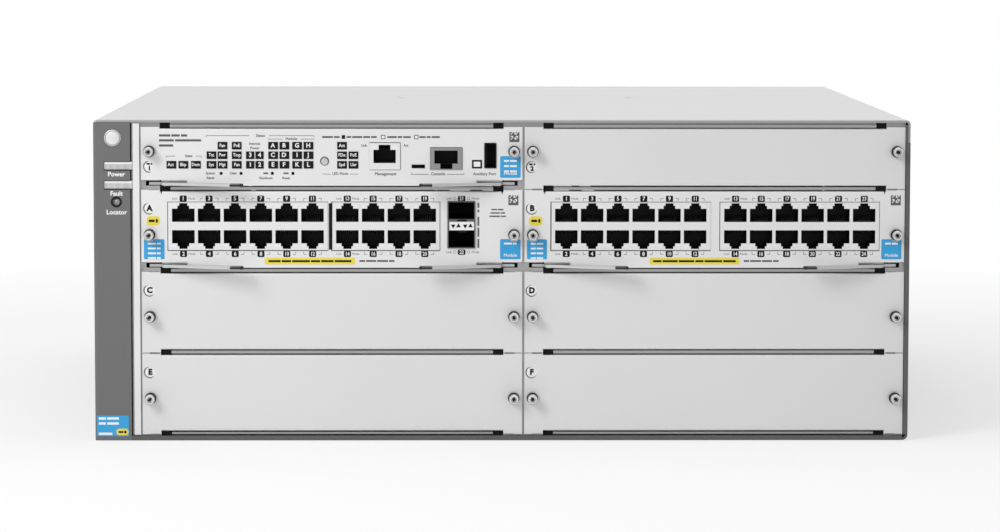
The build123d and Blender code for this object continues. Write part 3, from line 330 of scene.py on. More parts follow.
@dataclass(frozen=True)
class Ruler:
    """Turns places read off the front of the photograph into metres."""

    centre: float = 502.35
    ground: float = 440.4
    across_scale: float = 1836.0
    up_scale: float = 1828.0

    def spot(self, x: float, y: float) -> Patch:
        """Place of one point."""
        return Patch((x - self.centre) / self.across_scale, (self.ground - y) / self.up_scale)

    def area(self, left: float, top: float, right: float, bottom: float) -> Patch:
        """Middle and size of a rectangle.

        Args:
            left: left edge.
            top: top edge.
            right: right edge.
            bottom: bottom edge.

        Returns:
            The patch.
        """
        middle = self.spot((left + right) / 2, (top + bottom) / 2)
        return Patch(middle.x, middle.z, (right - left) / self.across_scale,
                     (bottom - top) / self.up_scale)


RULER = Ruler()


@dataclass(frozen=True)
class Slot:
    """One slot of the chassis, found from the node that fills it."""

    node: str
    body: str
    top_gap: float = 0.2 * MM
    height: float = 44.8 * MM

    @property
    def left(self) -> float:
        """Left edge of the plate."""
        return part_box(self.node)[0][0]

    @property
    def right(self) -> float:
        """Right edge of the plate."""
        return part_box(self.node)[1][0]

    @property
    def front(self) -> float:
        """Front face of the plate along Y."""
        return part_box(self.node)[0][1]

    @property
    def floor(self) -> float:
        """Level of the slot's floor."""
        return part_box(self.node)[1][2] + self.top_gap - self.height


class Bench:
    """Modelling by hand: primitives, edit-mode shaping, text and copies."""

    @staticmethod
    def clear() -> None:
        """Deselect everything."""
        bpy.ops.object.select_all(action="DESELECT")

    @staticmethod
    def only(piece: bpy.types.Object) -> None:
        """Select one piece and make it active."""
        Bench.clear()
        piece.select_set(True)
        bpy.context.view_layer.objects.active = piece

    @staticmethod
    def settle(piece: bpy.types.Object) -> None:
        """Put the piece's place into its mesh."""
        Bench.only(piece)
        bpy.ops.object.transform_apply(location=True, rotation=True, scale=True)

    @staticmethod
    def block(name: str, centre: Vector, size: Vector) -> bpy.types.Object:
        """A box at its size and place, to be shaped further."""
        Bench.clear()
        bpy.ops.mesh.primitive_cube_add(size=1.0, location=centre)
        piece = bpy.context.active_object
        piece.name = name
        piece.scale = size
        Bench.settle(piece)
        return piece

    @staticmethod
    def plaque(name: str, centre: Vector, size: Vector, corner: float = 0.0,
               segments: int = 3) -> bpy.types.Object:
        """A thin plate facing -Y, with its corners rounded.

        Args:
            name: name of the piece.
            centre: middle of the plate.
            size: width, thickness and height.
            corner: corner radius in the plane of the plate.
            segments: steps round each corner.

        Returns:
            The new object, its place in its mesh.
        """
        piece = Bench.block(name, centre, size)
        if corner > 0:
            bpy.ops.object.mode_set(mode="EDIT")
            bpy.ops.mesh.select_all(action="DESELECT")
            bpy.ops.mesh.select_mode(type="EDGE")
            bpy.ops.object.mode_set(mode="OBJECT")
            for edge in piece.data.edges:
                first, second = (piece.data.vertices[i].co for i in edge.vertices)
                edge.select = abs(first.x - second.x) < 1e-7 and abs(first.z - second.z) < 1e-7
            bpy.ops.object.mode_set(mode="EDIT")
            bpy.ops.mesh.bevel(offset=corner, segments=segments, affect="EDGES")
            bpy.ops.object.mode_set(mode="OBJECT")
        return piece

    @staticmethod
    def pocket(name: str, centre: Vector, size: Vector, wall: float) -> bpy.types.Object:
        """An open-fronted lining for a hollow that faces -Y.

        Args:
            name: name of the piece.
            centre: middle of the hollow.
            size: inner width, depth and height of the hollow.
            wall: thickness of the lining, inwards.

        Returns:
            The new object.
        """
        piece = Bench.block(name, centre, size)
        bpy.ops.object.mode_set(mode="EDIT")
        bpy.ops.mesh.select_all(action="DESELECT")
        bpy.ops.mesh.select_mode(type="FACE")
        bpy.ops.object.mode_set(mode="OBJECT")
        for face in piece.data.polygons:
            face.select = face.normal.y < -0.9
        bpy.ops.object.mode_set(mode="EDIT")
        bpy.ops.mesh.delete(type="FACE")
        bpy.ops.object.mode_set(mode="OBJECT")
        shell = piece.modifiers.new("wall", "SOLIDIFY")
        shell.thickness = wall
        shell.offset = -1.0
        bpy.ops.object.modifier_apply(modifier=shell.name)
        return piece

    @staticmethod
    def disc(name: str, centre: Vector, radius: float, thick: float,
             sides: int = 32) -> bpy.types.Object:
        """A round plate facing -Y with a softened rim.

        Args:
            name: name of the piece.
            centre: middle of the disc.
            radius: outer radius.
            thick: thickness along Y.
            sides: steps round the rim.

        Returns:
            The new object.
        """
        Bench.clear()
        bpy.ops.mesh.primitive_cylinder_add(vertices=sides, radius=radius, depth=thick,
                                            location=centre, rotation=(math.pi / 2, 0, 0))
        piece = bpy.context.active_object
        piece.name = name
        Bench.settle(piece)
        if sides > 3:
            Bench.soften(piece, min(thick, radius) * 0.3)
        return piece

    @staticmethod
    def ring(name: str, centre: Vector, radius: float, wire: float,
             sides: int = 32) -> bpy.types.Object:
        """A round wire ring facing -Y.

        Args:
            name: name of the piece.
            centre: middle of the ring.
            radius: radius to the wire's middle.
            wire: half the wire's thickness.
            sides: steps round the ring.

        Returns:
            The new object.
        """
        Bench.clear()
        bpy.ops.mesh.primitive_torus_add(major_radius=radius, minor_radius=wire,
                                         major_segments=sides, minor_segments=6,
                                         location=centre, rotation=(math.pi / 2, 0, 0))
        piece = bpy.context.active_object
        piece.name = name
        Bench.settle(piece)
        return piece

    @staticmethod
    def words(name: str, text: str, centre: Vector, size: float, thick: float,
              bold: float = 0.0, narrow: float = 1.0) -> bpy.types.Object:
        """Generic lettering that faces -Y, as a mesh.

        Args:
            name: name of the piece.
            text: what it says.
            centre: middle of the text.
            size: letter size.
            thick: how far it stands proud.
            bold: how far strokes are widened.
            narrow: width of the letters against their height.

        Returns:
            The new mesh object.
        """
        Bench.clear()
        bpy.ops.object.text_add(location=centre, rotation=(math.pi / 2, 0, 0))
        piece = bpy.context.active_object
        piece.name = name
        piece.scale.x = narrow
        piece.data.body = text
        piece.data.size = size
        piece.data.align_x = "CENTER"
        piece.data.align_y = "CENTER"
        piece.data.extrude = thick / 2
        piece.data.offset = bold
        piece.data.resolution_u = 2
        bpy.ops.object.convert(target="MESH")
        piece = bpy.context.active_object
        Bench.settle(piece)
        return piece

    @staticmethod
    def soften(piece: bpy.types.Object, width: float, segments: int = 2) -> None:
        """Round all of a piece's sharp edges.

        Args:
            piece: the object.
            width: bevel width.
            segments: steps across each edge.
        """
        Bench.only(piece)
        bevel = piece.modifiers.new("edge", "BEVEL")
        bevel.width = width
        bevel.segments = segments
        bevel.limit_method = "ANGLE"
        bpy.ops.object.modifier_apply(modifier=bevel.name)
        bpy.ops.object.shade_smooth_by_angle(angle=math.radians(35))

    @staticmethod
    def copies(source: bpy.types.Object, name: str,
               places: list[Matrix]) -> bpy.types.Object:
        """Repeat a piece through each matrix and join the copies.

        Args:
            source: the piece modelled once; it is used up.
            name: name of the joined piece.
            places: where each copy goes, from the source's place.

        Returns:
            The joined object.
        """
        made = []
        for place in places:
            copy = bpy.data.objects.new(name, source.data.copy())
            copy.data.transform(place)
            bpy.context.scene.collection.objects.link(copy)
            made.append(copy)
        bpy.data.objects.remove(source)
        return Bench.join(made, name)

    @staticmethod
    def join(pieces: list[bpy.types.Object], name: str) -> bpy.types.Object:
        """Join pieces into one.

        Args:
            pieces: the objects to join.
            name: name of the result.

        Returns:
            The joined object.
        """
        Bench.clear()
        for piece in pieces:
            piece.select_set(True)
        bpy.context.view_layer.objects.active = pieces[0]
        if len(pieces) > 1:
            bpy.ops.object.join()
        joined = bpy.context.view_layer.objects.active
        joined.name = name
        return joined


def hang(piece: bpy.types.Object, body: str, finish: str) -> None:
    """Dress a new piece and let it ride.

    Args:
        piece: the finished piece.
        body: the body it moves with.
        finish: its finish.
    """
    PAINTS.dress(piece, finish)
    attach(piece, body)
    LOG.info("%s rides on %s", piece.name, body)


class CadNodes:
    """Finishes of the solids that show as they are."""

    FINISHES: dict[str, str] = {
        "chassis_tray": "chassis_grey",
        # Top cover painted lighter than the chassis: painted light on its top.
        "top_cover": "cover_painted_lit_grey",
        "indicator_column": "column_grey",
        "trim_strip": "plate_silver",
        "front_frame": "bar_zinc",
        "card_guides": "guide_black",
        "backplane_board": "board_green",
        "backplane_sockets": "black_moulded",
        "power_light_pipe": "pipe_frosted",
        "fault_light_pipe": "pipe_frosted",
        "locator_lens": "lens_grey",
        "indicator_board": "board_green",
        "cover_screws": "screw_dark",
        "status_windows": "print_and_shade_black",
        "mode_button": "button_pale",
        "management_jack": "shield_tin",
        "console_jack": "jack_steel",
        "usb_socket": "black_moulded",
        "micro_usb_socket": "black_moulded",
        "a_optical_cage": "cage_steel",
    }
    ENDINGS: dict[str, str] = {
        "_faceplate": "plate_silver",
        "_screws": "screw_bright",
        "_board": "board_green",
        "_shields": "shield_tin",
        "_housings": "jack_black",
        "_button": "black_moulded",
        "_latch": "latch_red",
        "_lever_left": "lever_silver",
        "_lever_right": "lever_silver",
    }
    BEGINNINGS: dict[str, str] = {
        "blank_cover_": "blank_silver",
        "fan_rotor_": "black_moulded",
    }

    def finish_of(self, node: str) -> str:
        """Choose the finish of a node by its name.

        Args:
            node: the node's name.

        Returns:
            The finish's name.
        """
        if node in self.FINISHES:
            return self.FINISHES[node]
        for ending, finish in self.ENDINGS.items():
            if node.endswith(ending):
                return finish
        for beginning, finish in self.BEGINNINGS.items():
            if node.startswith(beginning):
                return finish
        return "inner_zinc"

    def build(self) -> None:
        """Dress every node."""
        for name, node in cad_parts.items():
            PAINTS.dress(node, self.finish_of(name))
            Bench.only(node)
            bpy.ops.object.shade_smooth_by_angle(angle=math.radians(30))
        LOG.info("%d nodes dressed", len(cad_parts))


@dataclass
class Print:
    """Flat print on one face of one body, gathered by colour."""

    name: str
    body: str
    face: float
    slot: str = "black_print"
    proud: float = 0.06 * MM
    inks: dict[str, list[bpy.types.Object]] = field(default_factory=dict)

    def spot(self, patch: Patch, layer: int = 0) -> Vector:
        """Middle of a patch on the face, in front of the layers under it."""
        return Vector((patch.x, self.face - self.proud * (layer + 0.5), patch.z))

    def add(self, finish: str, piece: bpy.types.Object) -> None:
        """Keep a printed piece with others of its colour."""
        self.inks.setdefault(finish, []).append(piece)

    def panel(self, finish: str, patch: Patch, corner: float = 0.0, layer: int = 0) -> None:
        """Print a rounded field.

        Args:
            finish: its colour.
            patch: where it lies.
            corner: corner radius in metres.
            layer: how many prints it lies on.
        """
        size = Vector((patch.wide, self.proud, patch.tall))
        self.add(finish, Bench.plaque("field", self.spot(patch, layer), size, corner))

    def bars(self, finish: str, patches: list[Patch], layer: int = 0) -> None:
        """Print plain bars, modelled once and copied to each size.

        Args:
            finish: their colour.
            patches: where they lie.
            layer: how many prints they lie on.
        """
        unit = Bench.plaque("bar", Vector((0, 0, 0)), Vector((1.0, self.proud, 1.0)))
        places = [Matrix.Translation(self.spot(patch, layer))
                  @ Matrix.Diagonal((patch.wide, 1.0, patch.tall, 1.0)) for patch in patches]
        self.add(finish, Bench.copies(unit, "bars", places))

    def greeked(self, finish: str, area: Patch, words: int, layer: int = 0) -> None:
        """Stand-in bars for a line of small print, one for each word.

        Args:
            finish: their colour.
            area: where the line lies.
            words: how many bars.
            layer: how many prints they lie on.
        """
        weights = [1.0 + 0.4 * math.sin(2.3 * index + 9.0 * area.x / area.tall)
                   for index in range(words)]
        gap = min(0.55 * area.tall, 0.3 * area.wide / words)
        room = area.wide - gap * (words - 1)
        place = area.x - area.wide / 2
        bars = []
        for weight in weights:
            width = room * weight / sum(weights)
            bars.append(Patch(place + width / 2, area.z, width, area.tall))
            place += width + gap
        self.bars(finish, bars, layer)

    def words(self, finish: str, text: str, patch: Patch, size: float, layer: int = 0,
              bold: float = 0.0, narrow: float = 1.0) -> None:
        """Print generic lettering.

        Args:
            finish: its colour.
            text: what it says.
            patch: its middle.
            size: letter size in metres.
            layer: how many prints it lies on.
            bold: how far strokes are widened, in metres.
            narrow: width of the letters against their height.
        """
        piece = Bench.words("words", text, self.spot(patch, layer), size, self.proud, bold, narrow)
        self.add(finish, piece)

    def ring(self, finish: str, patch: Patch, radius: float, line: float) -> None:
        """Print a thin ring.

        Args:
            finish: its colour.
            patch: its middle.
            radius: its radius in metres.
            line: half its thickness, in metres.
        """
        centre = Vector((patch.x, self.face, patch.z))
        self.add(finish, Bench.ring("ring", centre, radius, line))

    def code_square(self, area: Patch, count: int = 8) -> None:
        """Print a small square of plain blocks, laid out by a formula.

        Args:
            area: where it lies.
            count: blocks along each side.
        """
        cell = area.wide / count
        blocks = []
        for column in range(count):
            for row in range(count):
                edge = column == 0 or row == 0
                if edge or (column * 3 + row * 5 + column * row) % 4 < 2:
                    blocks.append(Patch(area.x + (column + 0.5 - count / 2) * cell,
                                        area.z + (row + 0.5 - count / 2) * cell, cell, cell))
        self.bars("print_and_shade_grey", blocks)

    def finish(self) -> None:
        """Join each colour into one piece and let it ride."""
        for finish, pieces in self.inks.items():
            joined = Bench.join(pieces, f"{self.name}_{finish}")
            hang(joined, self.body, finish)


@dataclass
class PortModule:
    """Print, contacts and light windows of a port module."""

    prefix: str
    slot: Slot
    blocks: tuple[tuple[float, int], ...]
    worded: tuple[int, ...]
    pitch: float = 14.05 * MM
    tag: tuple[float, float] = (3.9 * MM, 3.4 * MM)
    upper_tag: float = 39.75 * MM
    lower_tag: float = 9.55 * MM
    upper_body: Span = (27.1 * MM, 34.3 * MM)
    lower_body: Span = (15.35 * MM, 22.55 * MM)
    window: tuple[float, float] = (2.5 * MM, 1.3 * MM)
    window_reach: float = 4.75 * MM
    window_levels: tuple[float, float] = (35.55 * MM, 14.1 * MM)
    contact_count: int = 8
    contact_pitch: float = 1.02 * MM
    contact_size: tuple[float, float, float] = (0.4 * MM, 8.0 * MM, 0.28 * MM)
    contact_edge: float = 0.08 * MM
    contact_start: float = 2.5 * MM
    contact_inset: float = 1.6 * MM
    contact_lean: float = 16.0
    tag_corner: float = 0.7 * MM
    tag_size: float = 3.0 * MM
    tag_bold: float = 0.06 * MM
    tag_narrow: Span = (0.95, 0.8)
    word_reach: float = 4.6 * MM
    word_size: float = 1.7 * MM
    bracket_reach: float = 2.9 * MM
    bracket_shift: Span = (0.8 * MM, 0.2 * MM)
    bracket_bar: Span = (1.6 * MM, 0.24 * MM)
    bracket_tick: Span = (0.24 * MM, 1.3 * MM)
    tick_shift: float = 0.5 * MM
    frame_levels: Span = (11.35 * MM, 38.05 * MM)
    frame_reach: float = 8.45 * MM
    frame_width: float = 16.9 * MM
    fine_line: float = 0.2 * MM
    low_line: float = 0.35 * MM
    left_line: float = 0.45 * MM
    window_thick: float = 0.24 * MM
    window_proud: float = 0.06 * MM
    window_corner: float = 0.25 * MM

    def columns(self) -> list[float]:
        """Middles of the jack columns."""
        return [self.slot.left + (first * MM) + index * self.pitch
                for first, count in self.blocks for index in range(count)]

    def tags(self, paint: Print) -> None:
        """Print the number tags with a pair of brackets each.

        Args:
            paint: the print that takes them.
        """
        floor = self.slot.floor
        width, height = self.tag
        plate = Bench.plaque("tag", Vector((0, 0, 0)), Vector((width, paint.proud, height)),
                             self.tag_corner, 3)
        places, dashes = [], []
        for index, x in enumerate(self.columns()):
            for level, number in ((floor + self.upper_tag, 2 * index + 1),
                                  (floor + self.lower_tag, 2 * index + 2)):
                spot = Patch(x, level)
                places.append(Matrix.Translation(paint.spot(spot)))
                paint.words("print_white", str(number), spot, self.tag_size, 1,
                            self.tag_bold, self.tag_narrow[number >= 10])
                step = -1 if number % 2 else 1
                if number in self.worded:
                    for side, word in ((-1, "Link"), (1, "Mode")):
                        paint.words("print_and_shade_grey", word, Patch(x + side * self.word_reach, level),
                                    self.word_size)
                    continue
                for side in (-1, 1):
                    corner = x + side * (width / 2 + self.bracket_reach)
                    dashes.append(Patch(corner - side * self.bracket_shift[0],
                                        level - step * self.bracket_shift[1], *self.bracket_bar))
                    dashes.append(Patch(corner, level + step * self.tick_shift,
                                        *self.bracket_tick))
        paint.add("print_and_shade_black", Bench.copies(plate, "tags", places))
        paint.bars("print_and_shade_grey", dashes)

    def frame_lines(self, paint: Print) -> None:
        """Print the dark line round each block of jacks.

        Args:
            paint: the print that takes it.
        """
        floor = self.slot.floor
        low, high = floor + self.frame_levels[0], floor + self.frame_levels[1]
        lines, strong = [], []
        for first, count in self.blocks:
            left = self.slot.left + first * MM - self.frame_reach
            right = left + self.frame_width + (count - 1) * self.pitch
            middle, width = (left + right) / 2, right - left
            lines.append(Patch(middle, high, width, self.fine_line))
            lines.append(Patch(right, (low + high) / 2, self.fine_line, high - low))
            strong.append(Patch(middle, low, width, self.low_line))
            strong.append(Patch(left, (low + high) / 2, self.left_line, high - low))
        paint.bars("print_and_shade_grey", lines)
        paint.bars("print_and_shade_black", strong)

    def contacts(self) -> None:
        """Eight sprung contacts in each jack."""
        length = self.contact_size[1]
        start = self.slot.front + self.contact_start
        for name, span, lean in (("upper", self.upper_body, 1), ("lower", self.lower_body, -1)):
            level = span[0] + self.contact_inset if lean > 0 else span[1] - self.contact_inset
            wire = Bench.block("wire", Vector((0, 0, 0)), Vector(self.contact_size))
            Bench.soften(wire, self.contact_edge, 1)
            tilt = Matrix.Rotation(math.radians(self.contact_lean * lean), 4, "X")
            middle = Vector((0, start + length / 2, self.slot.floor + level))
            places = []
            for x in self.columns():
                for index in range(self.contact_count):
                    across = x + (index - (self.contact_count - 1) / 2) * self.contact_pitch
                    places.append(Matrix.Translation(middle + Vector((across, 0, 0))) @ tilt)
            made = Bench.copies(wire, f"{self.prefix}_{name}_contacts", places)
            hang(made, self.slot.body, "contact_tin")

    def light_windows(self) -> None:
        """Clear windows beside each latch tab."""
        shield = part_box(f"{self.prefix}_jack_shields")[0][1]
        size = Vector((self.window[0], self.window_thick, self.window[1]))
        window = Bench.plaque("window", Vector((0, shield - self.window_proud, self.slot.floor)),
                              size, self.window_corner, 2)
        places = [Matrix.Translation(Vector((x + side * self.window_reach, 0, level)))
                  for x in self.columns() for side in (-1, 1) for level in self.window_levels]
        made = Bench.copies(window, f"{self.prefix}_light_windows", places)
        hang(made, self.slot.body, "window_clear")

    def build(self) -> Print:
        """Make everything but the module's own labels.

        Returns:
            The print, still open for the labels.
        """
        self.contacts()
        self.light_windows()
        paint = Print(f"{self.prefix}_print", self.slot.body, self.slot.front)
        self.tags(paint)
        self.frame_lines(paint)
        return paint


class Labels:
    """Label fields that more than one plate carries."""

    @staticmethod
    def blue(paint: Print, area: Patch, word: str, lines: int) -> None:
        """A blue field with a pale word or greeked lines.

        Args:
            paint: the print that takes it.
            area: where it lies.
            word: a generic word for its foot, or nothing.
            lines: how many greeked lines it has.
        """
        paint.panel("label_blue", area, 0.7 * MM)
        for index in range(lines):
            level = area.z + area.tall * (0.28 - 0.24 * index)
            line = Patch(area.x, level, area.wide * 0.62, area.tall * 0.09)
            paint.greeked("print_white", line, 2, 1)
        if word:
            foot = Patch(area.x, area.z - area.tall * 0.3)
            paint.words("print_white", word, foot, 2.4 * MM, 1, 0.04 * MM)

    @staticmethod
    def badge(paint: Print, area: Patch) -> None:
        """A small yellow badge with a dark bar.

        Args:
            paint: the print that takes it.
            area: where it lies.
        """
        paint.panel("label_yellow", area, area.tall * 0.35)
        bar = Patch(area.x - area.wide * 0.12, area.z, area.wide * 0.46, area.tall * 0.26)
        dot = Patch(area.x + area.wide * 0.26, area.z, area.wide * 0.16, area.tall * 0.42)
        paint.panel("print_and_shade_black", bar, bar.tall * 0.4, 1)
        paint.panel("print_and_shade_black", dot, dot.wide * 0.45, 1)

    @staticmethod
    def strip(paint: Print, area: Patch, caption: Patch) -> None:
        """A yellow strip with dark greeked words and a caption after it.

        Args:
            paint: the print that takes it.
            area: where the strip lies.
            caption: where the caption lies.
        """
        paint.panel("label_yellow", area, 0.3 * MM)
        line = Patch(area.x, area.z, area.wide * 0.92, area.tall * 0.3)
        paint.greeked("print_and_shade_black", line, 6, 1)
        paint.greeked("print_and_shade_grey", caption, 4)


@dataclass
class ModuleA:
    """Module A: its ports, optical cage and labels, with places read off the photograph."""

    slot: Slot = Slot("a_faceplate", "port_module_a")
    cage_height: float = 25.7 * MM
    cage_band: float = 6.2 * MM
    cage_wall: float = 0.5 * MM
    lining_depth: float = 42 * MM
    lining_setback: float = 0.3 * MM
    lining_gap: float = 0.1 * MM
    lining_wall: float = 0.15 * MM
    band_plate: Box = (449.6, 221.4, 474.2, 229.8)
    arrows: tuple[tuple[float, int], ...] = ((453.3, -1), (458.6, 1), (465.3, -1), (470.6, 1))
    arrow_level: float = 225.5
    arrow_radius: float = 1.45 * MM
    cage_tabs: tuple[Box, ...] = ((457.2, 219.2, 467.0, 221.2), (457.2, 230.0, 467.0, 232.0))
    cage_tags: tuple[Box, ...] = ((458.0, 195.6, 465.6, 201.0), (458.0, 249.2, 465.6, 254.6))
    cage_numbers: tuple[tuple[float, str], ...] = ((198.3, "21"), (251.9, "22"))
    number_x: float = 461.8
    word_places: tuple[tuple[str, float], ...] = (("Link", 449.2), ("Mode", 475.6))
    lamp_places: Span = (455.0, 468.6)
    block_gap: Box = (329.0, 203.0, 332.4, 249.5)
    upright_sides: Span = (477.6, 479.4)
    uprights: tuple[Span, ...] = ((202.5, 5.0), (209.5, 2.4), (216.5, 9.0), (227.5, 9.0),
                                  (238.5, 9.0))
    note_lines: tuple[tuple[float, float, float], ...] = (
        (209.3, 491.5, 503.5), (212.7, 490.5, 505.0), (216.0, 489.5, 506.0))
    note_half: float = 0.7
    data_square: Box = (508.5, 195.0, 518.5, 205.0)
    right_label: Box = (500.2, 238.8, 520.8, 259.0)
    left_label: Box = (144.2, 239.0, 164.8, 259.0)
    badge: Box = (147.0, 216.0, 160.5, 225.2)
    strip: Box = (265.0, 257.5, 355.0, 264.2)
    strip_caption: Box = (359.5, 259.8, 394.5, 261.6)

    def linings(self, low: Vector, high: Vector) -> None:
        """Black linings of the cage's two bays.

        Args:
            low: lowest corner of the cage's box.
            high: highest corner of the cage's box.
        """
        bottom = high[2] - self.cage_height
        tall = (self.cage_height - self.cage_band - 2 * self.cage_wall) / 2
        linings = []
        for floor in (bottom + self.cage_wall, high[2] - self.cage_wall - tall):
            size = Vector((high[0] - low[0] - 2 * self.cage_wall - self.lining_gap,
                           self.lining_depth, tall - self.lining_gap))
            centre = Vector(((low[0] + high[0]) / 2, low[1] + self.lining_setback + size.y / 2,
                             floor + tall / 2))
            linings.append(Bench.pocket("lining", centre, size, self.lining_wall))
        hang(Bench.join(linings, "a_cage_linings"), self.slot.body, "jack_black")

    def cage(self, paint: Print) -> None:
        """Black linings, the pale band and its four arrows.

        Args:
            paint: the module's print.
        """
        low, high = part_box("a_optical_cage")
        self.linings(low, high)
        front = Print("a_cage_print", self.slot.body, low[1])
        front.panel("print_white", RULER.area(*self.band_plate), 0.2 * MM)
        for x, way in self.arrows:
            spot = front.spot(RULER.spot(x, self.arrow_level), 1)
            arrow = Bench.disc("arrow", Vector((0, 0, 0)), self.arrow_radius, front.proud, 3)
            turn = Matrix.Rotation(0.0 if way > 0 else math.pi, 4, "Y")
            arrow.data.transform(Matrix.Translation(spot) @ turn)
            front.add("print_and_shade_black", arrow)
        for tab in self.cage_tabs:
            front.panel("print_and_shade_black", RULER.area(*tab), 0.3 * MM, 1)
        front.finish()
        for tag in self.cage_tags:
            paint.panel("print_and_shade_black", RULER.area(*tag), 0.7 * MM)
        for y, number in self.cage_numbers:
            paint.words("print_white", number, RULER.spot(self.number_x, y), 3.0 * MM, 1,
                        0.06 * MM, 0.8)
            for word, x in self.word_places:
                paint.words("print_and_shade_grey", word, RULER.spot(x, y), 1.8 * MM)
            for x in self.lamp_places:
                paint.ring("print_and_shade_grey", RULER.spot(x, y), 0.7 * MM, 0.1 * MM)

    def build(self) -> None:
        """Make the whole module's dressing."""
        ports = PortModule("a", self.slot, ((22.9, 6), (112.1, 4)), (1, 2, 13, 14))
        paint = ports.build()
        self.cage(paint)
        paint.panel("print_and_shade_black", RULER.area(*self.block_gap), 0.3 * MM)
        left, right = self.upright_sides
        paint.bars("print_and_shade_grey", [RULER.area(left, top, right, top + tall)
                                  for top, tall in self.uprights])
        for y, left, right in self.note_lines:
            line = RULER.area(left, y - self.note_half, right, y + self.note_half)
            paint.greeked("print_and_shade_grey", line, 2)
        paint.code_square(RULER.area(*self.data_square))
        Labels.blue(paint, RULER.area(*self.right_label), "Module", 1)
        Labels.blue(paint, RULER.area(*self.left_label), "", 4)
        Labels.badge(paint, RULER.area(*self.badge))
        Labels.strip(paint, RULER.area(*self.strip), RULER.area(*self.strip_caption))
        paint.finish()


@dataclass
class ModuleB:
    """Module B: its ports and labels, with places read off the photograph."""

    slot: Slot = Slot("b_faceplate", "port_module_b")
    data_square: Box = (891.4, 195.0, 901.4, 205.0)
    left_label: Box = (527.2, 239.0, 547.2, 259.0)
    right_label: Box = (882.4, 238.8, 902.6, 259.0)
    badge: Box = (529.4, 216.0, 542.6, 225.2)
    strip: Box = (650.0, 257.5, 740.0, 264.2)
    strip_caption: Box = (744.5, 259.8, 779.5, 261.6)

    def build(self) -> None:
        """Make the whole module's dressing."""
        ports = PortModule("b", self.slot, ((22.8, 6), (115.0, 6)), (1, 2, 13, 14))
        paint = ports.build()
        paint.code_square(RULER.area(*self.data_square))
        Labels.blue(paint, RULER.area(*self.left_label), "", 4)
        Labels.blue(paint, RULER.area(*self.right_label), "Module", 1)
        Labels.badge(paint, RULER.area(*self.badge))
        Labels.strip(paint, RULER.area(*self.strip), RULER.area(*self.strip_caption))
        paint.finish()


